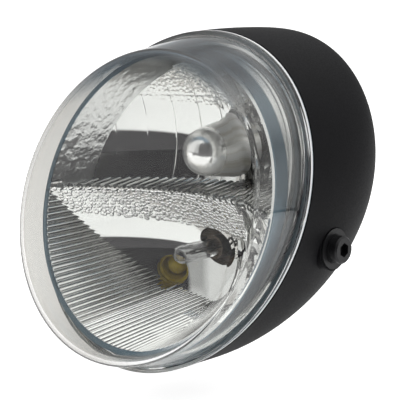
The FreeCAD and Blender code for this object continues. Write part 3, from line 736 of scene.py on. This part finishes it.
@dataclass
class Lens:
    """Clear raked cover with a flange on the seat, a steep shoulder and a crowned front."""

    seat_radius: float = 78.5
    flange_depth: float = 4.0
    flange_round: float = 1.3
    round_cuts: int = 6
    wall: float = 2.0
    wall_fade: float = 0.5
    least_step: float = 0.01
    foot_radius: float = 76.8
    top_radius: float = 72.6
    depth: float = 35.0
    crown: float = 4.0
    corner: float = 7.0
    edge_width: float = 1.0
    edge_depth: float = 1.6
    edge_gap: float = 0.05
    edge_inset: float = 0.02
    edge_round: float = 0.3
    shade_from: float = -22.0
    gasket_radius: tuple[float, float] = (72.4, 77.9)
    gasket_depth: tuple[float, float] = (0.1, 0.95)
    # Reaches of the wall's painted shade at the left and its painted dark reflection at the top
    left_painted_shade_reach: tuple[float, float] = (-10.0, 25.0)
    top_painted_reflection_turn: tuple[float, ...] = (45.0, 65.0, 120.0, 145.0)
    top_painted_reflection_depth: tuple[float, float] = (-10.0, -4.0)
    steps: int = 256

    def side(self, inset: float) -> list[Triple]:
        """Half section of one face of the lens, from its foot to the middle of its front.

        Args:
            inset: Distance inside the outer face.

        Returns:
            Corners as (radius, forward distance, share of the way from the seat's rake to the front's).
        """
        foot, top = self.foot_radius - inset, self.top_radius - inset
        base = self.depth - self.corner
        corner = self.corner - inset
        slope = 2 * self.crown / (top - corner)
        out = [(foot + (top - foot) * t, base * t, t) for t in np.linspace(0, 1, 9)[:-1]]
        for turn in np.radians(np.linspace(0, 90 - math.degrees(slope), 13)):
            out.append((top - corner + corner * math.cos(turn), base + corner * math.sin(turn), 1.0))
        r0, y0 = out[-1][:2]
        for t in np.linspace(0, 1, 24)[1:]:
            r = r0 * (1 - t)
            out.append((r, y0 + slope * (r0 * r0 - r * r) / (2 * r0), 1.0))
        return out

    def build(self) -> None:
        """Build the cover, its ground edge in painted highlight and painted shade, and its seal."""
        outer = self.side(0.0)
        inner = self.side(self.wall)
        reach = self.flange_depth
        share = reach / (self.depth - self.corner)
        on_wall = self.foot_radius + (self.top_radius - self.foot_radius) * share
        foot = (self.seat_radius - self.least_step, 0.0)
        flange = rounded([foot, (self.seat_radius, reach), (on_wall, reach)], self.flange_round,
                         self.round_cuts)
        within = self.seat_radius - self.edge_width
        edge = [(inner[0][0], 0.0, 0.0), (within, 0.0, 0.0), (within, self.edge_depth, 0.0),
                (self.seat_radius, self.edge_depth, 0.0)]
        edge += [(r, y, 0.0) for r, y in flange[self.round_cuts:2 * self.round_cuts]]
        outside = [p for p in outer if p[1] > reach + self.least_step]
        profile = edge + [(on_wall, reach, share)] + outside + inner[::-1][:-1]
        self.make("lens_cover", profile, LENS_CLEAR, ("lens",))
        near, far = within + self.edge_gap, self.seat_radius - self.edge_inset
        back, ahead = self.edge_gap, self.edge_depth - self.edge_gap
        line = rounded([(near, back), (far, back), (far, ahead), (near, ahead)], self.edge_round, 4)
        # The edge ring is near white as painted highlight, and slate as painted shade on the lens's left.
        ring = self.make("lens_edge", [(r, y, 0.0) for r, y in line], PAINTED_HIGHLIGHT_EDGE, ())
        ring.data.materials.append(PAINTED_SHADE_EDGE.material())
        for face in ring.data.polygons:
            face.material_index = int(face.center.x < self.shade_from * MM)
        (near, far), (back, ahead) = self.gasket_radius, self.gasket_depth
        points, faces = lathe([(near, back), (far, back), (far, ahead), (near, ahead)], self.steps)
        points[:, 1] += points[:, 2] * SEAT_LEAN
        make_piece("lens_gasket", points, faces, SEAL_SLATE.material(), ("lens_seal",))

    def make(self, name: str, profile: Sequence[Triple], finish: Finish, nodes: Sequence[str]) -> Object:
        """Turn a half section whose rake eases from the seat's to the front's.

        Args:
            name: Name of the piece.
            profile: Corners as (radius, forward distance, share of the front's rake).
            finish: Finish of the piece.
            nodes: CAD nodes that it stands for.

        Returns:
            The piece, which carries its shares of wall, painted shade on the left wall and painted dark
            reflection at the top.
        """
        points, faces = lathe([(r, -y) for r, y, _ in profile], self.steps)
        share = np.repeat([s for _, _, s in profile], self.steps)
        points[:, 1] += points[:, 2] * (SEAT_LEAN + (FRONT_LEAN - SEAT_LEAN) * share)
        piece = make_piece(name, points, faces, finish.material(), nodes)
        x, y, z = lamp_points(piece.data).T
        ends = (self.top_radius - self.corner, self.top_radius - self.wall - self.wall_fade)
        wall = np.interp(np.hypot(x, z), ends, (0.0, 1.0))
        # Shares of the painted dark reflection at the top and the painted shade on the left
        top_painted_reflection = wall * np.interp(np.degrees(np.arctan2(z, x)), self.top_painted_reflection_turn, (0.0, 1.0, 1.0, 0.0))
        top_painted_reflection *= np.interp(y - z * (SEAT_LEAN + FRONT_LEAN) / 2, self.top_painted_reflection_depth, (1.0, 0.0))
        for share_name, values in (("wall", wall), ("top_painted_reflection", top_painted_reflection),
                                   ("left_painted_shade", wall * np.interp(x, self.left_painted_shade_reach, (1.0, 0.0)))):
            piece.data.attributes.new(share_name, "FLOAT", "POINT").data.foreach_set("value", values)
        return piece


@dataclass(frozen=True)
class Dish:
    """Parabolic mirror that opens forward."""

    focal: float
    depth: float
    axis_height: float

    def at(self, x: Points, z: Points) -> Points:
        """Depth of the dish's face over a point."""
        return self.depth - (x * x + (z - self.axis_height) ** 2) / (4 * self.focal)

    def normals(self, points: Points) -> Points:
        """Forward normals of the dish at points on it."""
        n = np.stack([-points[:, 0] / (2 * self.focal), -np.ones(len(points)),
                      -(points[:, 2] - self.axis_height) / (2 * self.focal)], axis=1)
        return n / np.linalg.norm(n, axis=1, keepdims=True)


UPPER_DISH = Dish(28.0, 51.5, 20.0)
LOWER_DISH = Dish(37.5, 39.0, -62.0)


@dataclass
class CadCopy:
    """Smooth-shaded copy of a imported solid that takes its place."""

    node: str
    slot: str
    finish: Finish
    smooth_limit: float = SMOOTH_LIMIT

    def build(self) -> Object:
        """Copy the solid's mesh, join its loose corners and shade it smooth.

        Returns:
            The piece, riding on the lamp.
        """
        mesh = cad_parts[self.node].data.copy()
        mesh.name = f"{self.node}_skin"
        mesh.materials.clear()
        if "custom_normal" in mesh.attributes:
            mesh.attributes.remove(mesh.attributes["custom_normal"])
        dress_mesh(mesh, self.finish.material(), CAD_JOIN, self.smooth_limit)
        return settle(show(mesh), (self.node,))


def corner_values(mesh: Mesh) -> tuple[Points, Points, Points]:
    """Where each face corner lies and what belongs to it.

    Args:
        mesh: Mesh in the row frame.

    Returns:
        Corner positions in lamp millimetres, their shading normals and the face normals at them.
    """
    count = len(mesh.loops)
    owner = np.empty(count, int)
    mesh.loops.foreach_get("vertex_index", owner)
    shading = np.empty(count * 3)
    mesh.corner_normals.foreach_get("vector", shading)
    flat = np.empty(len(mesh.polygons) * 3)
    mesh.polygon_normals.foreach_get("vector", flat)
    sides = np.empty(len(mesh.polygons), int)
    mesh.polygons.foreach_get("loop_total", sides)
    turned = np.repeat(flat.reshape(-1, 3), sides, axis=0)
    return lamp_points(mesh)[owner], shading.reshape(-1, 3), turned


def agreement(a: Points, b: Points) -> Points:
    """Cosine between two rows of directions, pair by pair."""
    return np.einsum("ij,ij->i", a, b)


@dataclass
class Reflector:
    """Metallised moulding: rim, fluted skirt, ribbed shelf and two dishes.

    Turns are degrees round the lamp's axis from its right. The shading normals of lower dish, skirt and
    flutes are aimed so that they mirror the light and dark sides of the studio as in the photograph.
    """

    lower_aim: Dish = Dish(28.0, 39.0, -26.0)
    straighten: tuple[float, float] = (-8.0, 2.0)
    smooth_limit: float = math.radians(20.0)
    lip_radius: float = 70.3
    wall_radius: float = 71.0
    wall_depth: float = 19.0
    rim_near: float = 1.2
    rim_agree: float = 0.95
    flutes: int = 72
    flute_height: float = 1.3
    flute_length: float = 75.0
    flute_slack: tuple[float, float] = (0.3, 0.2)
    flute_top: float = 0.5
    flute_seam: float = 0.995
    crest_share: float = 0.8
    crest_slack: float = 0.1
    crest_lean: tuple[float, float] = (-0.75, -0.2)
    steep_lean: float = 0.2
    steep_from: float = 243.0
    steep_bow: float = math.radians(58.0)
    flute_turn: tuple[float, ...] = (200.0, 236.0, 254.0, 275.0)
    flute_slope: tuple[float, ...] = (0.42, 0.6, 1.6, 2.2)
    flute_bow: tuple[float, ...] = (46.0, 46.0, 40.0, 40.0)
    skirt_turn: tuple[float, ...] = (100.0, 135.0, 160.0, 180.0)
    skirt_slope: tuple[float, ...] = (0.135, 0.9, 0.95, 0.9)
    near: float = 0.1
    agree: float = 0.97

    def ring_normals(self, spots: Points, sign: float, slope: float | Points) -> Points:
        """Normals of a raked cone, outward or inward, that widens forward by a slope.

        Args:
            spots: Points in lamp millimetres.
            sign: One for outward, minus one for inward.
            slope: Share by which the cone widens forward.

        Returns:
            A unit normal at each point.
        """
        radius = np.hypot(spots[:, 0], spots[:, 2])
        out = np.stack([spots[:, 0] / radius, np.zeros(len(spots)) + slope,
                        spots[:, 2] / radius - slope * FRONT_LEAN], axis=1)
        return sign * out / np.linalg.norm(out, axis=1, keepdims=True)

    def dress_skirt(self, spots: Points, shading: Points, flat: Points, fields: Points) -> None:
        """Aim the smooth skirt, the rim's outside and the flutes.

        Args:
            spots: Corners in lamp millimetres.
            shading: Their normals, which are changed.
            flat: Normals of their faces.
            fields: Numbers of their optical fields, which are changed on the smooth skirt.
        """
        free = fields == Field.PLAIN.value
        x, y, z = spots.T
        depth = y - z * FRONT_LEAN + LIP_DEPTH
        radius = np.hypot(x, z)
        turn = np.degrees(np.arctan2(z, x)) % 360.0
        inner = SKIRT_RADIUS - SKIRT_TAPER * depth
        on = free & (np.abs(radius - inner) < self.near) & (z > 0)
        on &= agreement(self.ring_normals(spots, -1.0, SKIRT_TAPER), flat) > self.agree
        slope = np.interp(turn, self.skirt_turn, self.skirt_slope)
        shading[on] = self.ring_normals(spots, -1.0, slope)[on]
        fields[on] = Field.SKIRT.value
        outside = self.ring_normals(spots, 1.0, -(self.wall_radius - self.lip_radius) / self.wall_depth)
        on = free & (np.abs(radius - self.lip_radius) < self.rim_near)
        on &= agreement(outside, flat) > self.rim_agree
        shading[on] = outside[on]
        on = free & (z < self.flute_top) & (depth < self.flute_length)
        on &= radius > inner - self.flute_height - self.flute_slack[0]
        on &= radius < inner + self.flute_slack[1]
        self.dress_flutes(spots, shading, flat, on)

    def dress_flutes(self, spots: Points, shading: Points, flat: Points, on: Points) -> None:
        """Aim the flutes, whose gentle and steep sides are shaded as hollow curves.

        Args:
            spots: Corners in lamp millimetres.
            shading: Their normals, which are changed.
            flat: Normals of their faces.
            on: Which corners lie on the flutes.
        """
        x, _, z = spots.T
        turn = np.degrees(np.arctan2(z, x)) % 360.0
        share = (turn - 180.0) / (180.0 / self.flutes) % 1.0
        share = np.where(share > self.flute_seam, 0.0, share)
        along = np.stack([-z, np.zeros(len(spots)), x], axis=1) / np.hypot(x, z)[:, None]
        leaning = agreement(along, flat)
        low, high = self.crest_lean
        gentle = on & (leaning < high) & (leaning > low)
        gentle &= share < self.crest_share + self.crest_slack
        steep = on & (leaning > self.steep_lean) & (turn > self.steep_from)
        slope = np.interp(turn, self.flute_turn, self.flute_slope)
        middle = self.ring_normals(spots, -1.0, slope)
        bow = np.radians(np.interp(turn, self.flute_turn, self.flute_bow))
        bow *= np.clip(share / self.crest_share, 0, 1) * 2 - 1
        fold = np.where(share > self.crest_share / 2, -self.steep_bow, self.steep_bow)
        for side, angle in ((steep, fold), (gentle, bow)):
            bent = middle * np.cos(angle)[:, None] + along * np.sin(angle)[:, None]
            shading[side] = bent[side] / np.linalg.norm(bent[side], axis=1, keepdims=True)
        LOG.info("reflector: %d corners on its flutes", np.count_nonzero(gentle | steep))

    def build(self) -> None:
        """Copy the moulding, number its optical fields and aim its dishes, skirt and flutes."""
        mesh = CadCopy("reflector", "reflector_silver", MIRROR, self.smooth_limit).build().data
        spots, shading, flat = corner_values(mesh)
        fields = np.full(len(spots), Field.PLAIN.value)
        seen = spots.copy()
        seen[:, 0] *= np.interp(spots[:, 0], self.straighten, (1.0, 0.0))
        for dish, aim, side, part in ((UPPER_DISH, UPPER_DISH.normals(spots), 1.0, Field.UPPER),
                                      (LOWER_DISH, self.lower_aim.normals(seen), -1.0, Field.LOWER)):
            on = np.abs(spots[:, 1] - dish.at(spots[:, 0], spots[:, 2])) < self.near
            on &= (agreement(dish.normals(spots), flat) > self.agree) & (spots[:, 2] * side > -1e-3)
            shading[on] = aim[on]
            fields[on] = part.value
        self.dress_skirt(spots, shading, flat, fields)
        mesh.normals_split_custom_set([tuple(n) for n in shading])
        mesh.attributes.new("field", "FLOAT", "CORNER").data.foreach_set("value", fields)
        LOG.info("reflector: %d corners on its dishes and skirt", np.count_nonzero(fields))


def geometry_tree(name: str, sizes: dict[str, str]) -> tuple[NodeTree, Node, dict[str, str]]:
    """Start a tree of geometry nodes.

    Args:
        name: Name of the tree.
        sizes: Names of its inputs, each with the kind of its socket.

    Returns:
        The tree, its input node and the identifier of each named input.
    """
    tree = bpy.data.node_groups.new(name, "GeometryNodeTree")
    face = tree.interface
    face.new_socket("Geometry", in_out="INPUT", socket_type="NodeSocketGeometry")
    names = {size: face.new_socket(size, in_out="INPUT", socket_type=kind).identifier
             for size, kind in sizes.items()}
    face.new_socket("Geometry", in_out="OUTPUT", socket_type="NodeSocketGeometry")
    return tree, add_node(tree, "NodeGroupInput"), names


def grown(mesh: Mesh, tree: NodeTree, names: dict[str, str], sizes: dict[str, float]) -> Object:
    """Run a tree on a mesh and keep its result as a plain piece on the lamp.

    Args:
        mesh: Points or lines that the tree starts from.
        tree: The tree, whose name the piece takes.
        names: Identifiers of its named inputs.
        sizes: Values of those inputs.

    Returns:
        The plain piece.
    """
    base = show(mesh)
    modifier = base.modifiers.new(tree.name, "NODES")
    modifier.node_group = tree
    for size, value in sizes.items():
        modifier[names[size]] = value
    graph = bpy.context.evaluated_depsgraph_get()
    plain = bpy.data.meshes.new_from_object(base.evaluated_get(graph))
    plain.name = tree.name
    base.modifiers.clear()
    bpy.data.objects.remove(base)
    return settle(show(plain))


@dataclass
class Pebbles:
    """Small metallised domes that scatter light over the top of the lower dish."""

    pitch: float = 1.55
    radius: float = 1.0
    flatness: float = 0.5
    spread: tuple[float, float] = (0.65, 1.45)
    swell: tuple[float, float] = (0.35, 1.0)
    swell_across: tuple[float, float] = (-45.0, 0.0)
    jitter: float = 0.4
    left: float = -66.0
    right: float = 30.0
    top: float = -0.7
    bottom_left: float = -13.5
    bottom_right: float = -21.0
    skirt_gap: float = 1.7
    seed: int = 7

    def seats(self) -> Points:
        """Places of the domes on the dish, in loosely staggered rows inside the skirt.

        Returns:
            Points in lamp millimetres.
        """
        out = []
        chance = np.random.default_rng(self.seed)
        for row in range(int((self.top - self.bottom_right) / self.pitch)):
            level = self.top - row * self.pitch
            for k in range(int((self.right - self.left) / self.pitch)):
                x = self.left + (k + row % 2 / 2 + chance.uniform(-self.jitter, self.jitter)) * self.pitch
                z = min(level + chance.uniform(-self.jitter, self.jitter) * self.pitch, self.top)
                share = min(max((x - self.left) / (self.right - self.left), 0.0), 1.0)
                y = LOWER_DISH.at(x, z)
                depth = y - z * FRONT_LEAN + LIP_DEPTH
                inside = math.hypot(x, z) < SKIRT_RADIUS - self.skirt_gap - SKIRT_TAPER * depth
                if inside and z > self.bottom_left + (self.bottom_right - self.bottom_left) * share:
                    out.append((x, y, z))
        return np.array(out)

    def tree(self) -> tuple[NodeTree, dict[str, str]]:
        """Make the node tree that sets a flattened ball on every point.

        Returns:
            The tree, and the identifiers of its named inputs.
        """
        tree, given, names = geometry_tree("pebble_optics", {
            "Radius": "NodeSocketFloat", "Flatness": "NodeSocketFloat", "Seed": "NodeSocketInt"})
        ball = add_node(tree, "GeometryNodeMeshIcoSphere", {"Radius": given.outputs["Radius"],
                                                            "Subdivisions": 2})
        soft = add_node(tree, "GeometryNodeSetShadeSmooth", (ball,))
        normal = add_node(tree, "GeometryNodeInputNamedAttribute", ("facing",), data_type="FLOAT_VECTOR")
        turn = add_node(tree, "FunctionNodeAlignRotationToVector", {"Vector": normal}, axis="Z")
        low, high = self.spread
        wide = add_node(tree, "FunctionNodeRandomValue", {2: low, 3: high, "Seed": given.outputs["Seed"]},
                        data_type="FLOAT").outputs[1]
        swell = add_node(tree, "GeometryNodeInputNamedAttribute", ("swell",), data_type="FLOAT")
        tall = add_node(tree, MATH, (swell, given.outputs["Flatness"]), operation="MULTIPLY")
        scale = add_node(tree, "ShaderNodeCombineXYZ", (wide, wide, tall))
        placed = add_node(tree, "GeometryNodeInstanceOnPoints", {"Points": given, "Instance": soft,
                                                                 "Rotation": turn, "Scale": scale})
        real = add_node(tree, "GeometryNodeRealizeInstances", (placed,))
        dressed = add_node(tree, "GeometryNodeSetMaterial", {0: real, "Material": PEBBLE.material()})
        add_node(tree, "NodeGroupOutput", (dressed,))
        return tree, names

    def build(self) -> None:
        """Set the domes on the dish as one plain mesh."""
        spots = self.seats()
        mesh = bpy.data.meshes.new("pebble_seats")
        mesh.from_pydata([tuple(p) for p in to_row(spots)], [], [])
        facing = mesh.attributes.new("facing", "FLOAT_VECTOR", "POINT")
        facing.data.foreach_set("vector", LOWER_DISH.normals(spots).ravel())
        swell = mesh.attributes.new("swell", "FLOAT", "POINT")
        swell.data.foreach_set("value", np.interp(spots[:, 0], self.swell_across, self.swell))
        sizes = {"Radius": self.radius * MM, "Flatness": self.flatness, "Seed": self.seed}
        grown(mesh, *self.tree(), sizes)


@dataclass
class ShelfBars:
    """Half-round bars that run backward over the shelf between the two dishes."""

    pitch: float = 4.5
    radius: float = 1.75
    sides: int = 24
    height: float = 0.5
    drift: float = -0.3
    reach: float = 72.0
    span: tuple[float, float] = (-20.0, 50.0)
    samples: int = 701
    fewest: int = 30
    dish_gap: float = 0.3
    skirt_gap: float = 1.5
    end_facing: float = 0.8

    def ends(self) -> Points:
        """Ends of the bars, kept inside the skirt and between the dishes.

        Returns:
            Points in lamp millimetres, a front end and a back end in turn.
        """
        out = []
        y = np.linspace(*self.span, self.samples)
        for k in range(int(2 * self.reach / self.pitch) + 1):
            x = -self.reach + k * self.pitch + self.drift * y
            inside = (y > LOWER_DISH.at(x, 0.0) + self.dish_gap) & (y < UPPER_DISH.at(x, self.height))
            skirt = SKIRT_RADIUS - self.skirt_gap - SKIRT_TAPER * (y + LIP_DEPTH)
            inside &= np.abs(x) < skirt - self.radius
            if np.count_nonzero(inside) > self.fewest:
                out += [(x[n], y[n], self.height) for n in np.flatnonzero(inside)[[0, -1]]]
        return np.array(out)

    def tree(self) -> tuple[NodeTree, dict[str, str]]:
        """Make the node tree that lays a round bar along every edge, its front end dull grey as painted
        shade.

        Returns:
            The tree, and the identifiers of its named inputs.
        """
        tree, given, names = geometry_tree("shelf_bars", {"Radius": "NodeSocketFloat",
                                                          "Sides": "NodeSocketInt"})
        line = add_node(tree, "GeometryNodeMeshToCurve", (given,))
        section = add_node(tree, "GeometryNodeCurvePrimitiveCircle", {"Radius": given.outputs["Radius"],
                                                                      "Resolution": given.outputs["Sides"]})
        bar = add_node(tree, "GeometryNodeCurveToMesh", {"Curve": line, "Profile Curve": section,
                                                         "Fill Caps": True})
        soft = add_node(tree, "GeometryNodeSetShadeSmooth", (bar,))
        real = add_node(tree, "GeometryNodeRealizeInstances", (soft,))
        dressed = add_node(tree, "GeometryNodeSetMaterial", {0: real, "Material": PEBBLE.material()})
        # Front ends take the dull grey of painted shade
        normal = add_node(tree, "GeometryNodeInputNormal")
        ahead = add_node(tree, VECTOR, (normal, (0.0, -1.0, 0.0)), operation="DOT_PRODUCT").outputs["Value"]
        front = add_node(tree, "FunctionNodeCompare", (ahead, self.end_facing), data_type="FLOAT",
                         operation="GREATER_THAN")
        ends = add_node(tree, "GeometryNodeSetMaterial", {0: dressed, "Selection": front,
                                                          "Material": SHADED_END.material()})
        add_node(tree, "NodeGroupOutput", (ends,))
        return tree, names

    def build(self) -> None:
        """Lay the bars on the shelf as one plain mesh."""
        ends = to_row(self.ends())
        mesh = bpy.data.meshes.new("shelf_lines")
        mesh.from_pydata([tuple(p) for p in ends], [(k, k + 1) for k in range(0, len(ends), 2)], [])
        grown(mesh, *self.tree(), {"Radius": self.radius * MM, "Sides": self.sides})


@dataclass
class SmallParts:
    """Bulbs, position lamp, shield, bolts, bush and bowl, shaded from their solids."""

    bulbs: tuple[str, ...] = ("upper", "lower")
    sides: tuple[str, ...] = ("left", "right")
    bowl_limit: float = math.radians(25.0)

    def build(self) -> None:
        """Dress every small solid."""
        for bulb in self.bulbs:
            CadCopy(f"{bulb}_bulb_glass", "bulb_glass", BULB_GLASS).build()
            CadCopy(f"{bulb}_bulb_filament", "filament_metal", TUNGSTEN).build()
            CadCopy(f"{bulb}_bulb_base", "bulb_base_steel", PLATED_STEEL).build()
            CadCopy(f"{bulb}_plug", "plug_black", PHENOLIC).build()
            CadCopy(f"{bulb}_clip", "clip_steel", SPRING_WIRE).build()
            for side in self.sides:
                CadCopy(f"{bulb}_blade_{side}", "blade_brass", BRASS).build()
        CadCopy("position_bulb_glass", "bulb_glass", POSITION_GLASS).build()
        CadCopy("position_bulb_filament", "filament_metal", TUNGSTEN).build()
        CadCopy("position_holder", "holder_plastic", HOLDER).build()
        CadCopy("bulb_shield", "shield_chrome", SHIELD_CHROME).build()
        CadCopy("cable_grommet", "grommet_rubber", RUBBER).build()
        CadCopy("housing", "housing_black", HOUSING_BLACK, self.bowl_limit).build()
        for side in self.sides:
            for piece, slot in (("side_bolt", "bolt_black"), ("flat_washer", "washer_steel"),
                                ("spring_washer", "washer_steel"), ("side_nut", "bolt_black")):
                CadCopy(f"{piece}_{side}", slot, BOLT_BLACK).build()


@dataclass
class Studio:
    """White tent with a dark camera side, soft lamps, a pale table and the camera.

    A patch of the tent is a direction with the cosines between which it fades in.
    """

    toward: Triple = (0.6374, -0.7515, 0.1702)
    right: Triple = (0.7627, 0.6468, 0.0)
    up: Triple = (-0.1101, 0.1298, 0.9854)
    distance: float = 1000.0
    shift: tuple[float, float] = (11.2, -0.7)
    lens: float = 188.1
    sensor: float = 36.0
    clip: tuple[float, float] = (0.05, 50.0)
    floor_drop: float = 96.0
    floor_half: float = 7.0
    dark_tone: str = "363337"
    dark_reach: tuple[float, float] = (0.85, 0.75)
    dark_round: float = 0.3
    least_ahead: float = 0.02
    room: float = 0.52
    diffuse_share: float = 0.45
    backdrop: tuple[float, float] = (0.55, 0.7)
    backdrop_top: tuple[float, float] = (0.14, 0.04)
    softboxes: tuple[tuple[Triple, float, float], ...] = (
        ((0.0, 0.0, 1.0), 0.5, 0.65), ((-0.85, -0.5, 0.28), 0.72, 0.82), ((0.95, 0.1, 0.3), 0.8, 0.9))
    zenith: tuple[Triple, float, float] = ((0.0, 0.0, 1.0), 0.75, 0.85)
    overhead: float = 0.8
    lamps: tuple[tuple[str, Triple], ...] = (("left_softbox", (-0.9, -0.9, 0.8)),
                                          ("right_softbox", (1.3, -0.2, 0.9)))
    lamp_size: float = 0.7
    lamp_watts: float = 9.0

    def camera(self) -> None:
        """Put the camera where the picture was taken from."""
        data = bpy.data.cameras.new("camera")
        data.lens, data.sensor_width = self.lens, self.sensor
        data.clip_start, data.clip_end = self.clip
        camera = bpy.data.objects.new("camera", data)
        spot = np.array(self.toward) * self.distance + np.array(self.right) * self.shift[0]
        spot += np.array(self.up) * self.shift[1]
        turn = Matrix((self.right, self.up, self.toward)).transposed()
        camera.matrix_world = Matrix.Translation(to_row([spot])[0]) @ turn.to_4x4()
        bpy.context.scene.collection.objects.link(camera)
        bpy.context.scene.camera = camera

    def open_side(self, tree: NodeTree, place: Socket) -> Node:
        """Share of the dark open side, where the camera stands, in a direction.

        Args:
            tree: Tree that takes the nodes.
            place: Direction from the lamp.

        Returns:
            One toward the dark side, nought elsewhere.
        """
        ahead, across, over = (
            add_node(tree, VECTOR, (place, axis), operation="DOT_PRODUCT").outputs["Value"]
            for axis in (self.toward, self.right, self.up))
        ahead = add_node(tree, MATH, (ahead, self.least_ahead), operation="MAXIMUM")
        slopes = [add_node(tree, MATH, (value, ahead), operation="DIVIDE") for value in (across, over)]
        wide, tall = (add_node(tree, MATH, (slope,), operation="ABSOLUTE") for slope in slopes)
        edge = add_node(tree, MATH, (wide, tall, self.dark_round), operation="SMOOTH_MAX")
        return add_node(tree, RANGE, (edge, *self.dark_reach))

    def patch(self, tree: NodeTree, place: Socket, way: Triple, start: float, stop: float) -> Node:
        """Round bright patch about a direction, soft between two cosines.

        Args:
            tree: Tree that takes the nodes.
            place: Direction from the lamp.
            way: Direction of its middle.
            start: Cosine where it begins.
            stop: Cosine from which it is full.

        Returns:
            One on the patch, nought off it.
        """
        middle = tuple(Vector(way).normalized())
        near = add_node(tree, VECTOR, (place, middle), operation="DOT_PRODUCT").outputs["Value"]
        return add_node(tree, RANGE, (near, start, stop))

    def world(self) -> None:
        """White surroundings, dark on the open side of the studio where the camera stands."""
        world = bpy.data.worlds.new("tent")
        world.use_nodes = True
        tree = world.node_tree
        tree.nodes.clear()
        place = add_node(tree, "ShaderNodeTexCoord").outputs["Generated"]
        lit = self.patch(tree, place, tuple(-c for c in self.toward), *self.backdrop)
        height = add_node(tree, "ShaderNodeSeparateXYZ", (place,)).outputs["Z"]
        below = add_node(tree, RANGE, (height, *self.backdrop_top))
        lit = add_node(tree, MATH, (lit, below), operation="MULTIPLY")
        for box in self.softboxes:
            lit = add_node(tree, MATH, (lit, self.patch(tree, place, *box)), operation="MAXIMUM")
        tent = add_node(tree, RANGE, (lit, 0.0, 1.0, self.room, 1.0))
        over = self.patch(tree, place, *self.zenith)
        tent = add_node(tree, MATH, (over, self.overhead, tent), operation="MULTIPLY_ADD")
        diffuse = add_node(tree, "ShaderNodeLightPath").outputs["Is Diffuse Ray"]
        level = add_node(tree, RANGE, (diffuse, 0.0, 1.0, 1.0, self.diffuse_share))
        strength = add_node(tree, MATH, (tent, level), operation="MULTIPLY")
        colour = add_node(tree, MIX, {0: self.open_side(tree, place), 6: linear("FFFFFF"),
                                      7: linear(self.dark_tone)}, data_type="RGBA").outputs[2]
        light = add_node(tree, "ShaderNodeBackground", {"Color": colour, "Strength": strength})
        add_node(tree, "ShaderNodeOutputWorld", {"Surface": light})
        bpy.context.scene.world = world

    def lamp(self, name: str, spot: Triple) -> None:
        """Add a soft square lamp that faces the object.

        Args:
            name: Name of the lamp.
            spot: Its place in metres in the row frame.
        """
        data = bpy.data.lights.new(name, "AREA")
        data.size, data.energy = self.lamp_size, self.lamp_watts
        lamp = bpy.data.objects.new(name, data)
        lamp.location = spot
        lamp.rotation_mode = "QUATERNION"
        lamp.rotation_quaternion = (-Vector(spot)).to_track_quat("-Z", "Y")
        lamp.visible_glossy = False
        lamp.visible_transmission = False
        bpy.context.scene.collection.objects.link(lamp)

    def floor(self) -> None:
        """White table under the lamp that keeps its shadow."""
        # Matt white board: even, a little brighter to the camera, so that only the shadow shows on it.
        finish = TableFinish("white_studio_floor", "F4F4F4", self.dark_tone, self.toward, self.right)
        half, z = self.floor_half, (PIVOT[2] - self.floor_drop) * MM
        mesh = bpy.data.meshes.new("floor")
        corners = [(x * half, y * half, z) for x, y in ((-1, -1), (1, -1), (1, 1), (-1, 1))]
        mesh.from_pydata(corners, [], [(0, 1, 2, 3)])
        mesh.materials.append(finish.material())
        show(mesh)

    def build(self) -> None:
        """Set up surroundings, lamps, floor, camera and the plain view of colours."""
        self.world()
        self.floor()
        self.camera()
        for name, spot in self.lamps:
            self.lamp(name, spot)
        scene = bpy.context.scene
        scene.view_settings.view_transform = "Standard"
        scene.cycles.max_bounces = 24
        scene.cycles.glossy_bounces = 10
        scene.cycles.transmission_bounces = 20
        scene.cycles.transparent_max_bounces = 16


def main() -> None:
    """Build the lamp and its studio."""
    logging.basicConfig(level=logging.INFO, format="%(message)s")
    Lens().build()
    Reflector().build()
    Pebbles().build()
    ShelfBars().build()
    SmallParts().build()
    Studio().build()


if __name__ == "__main__":
    main()
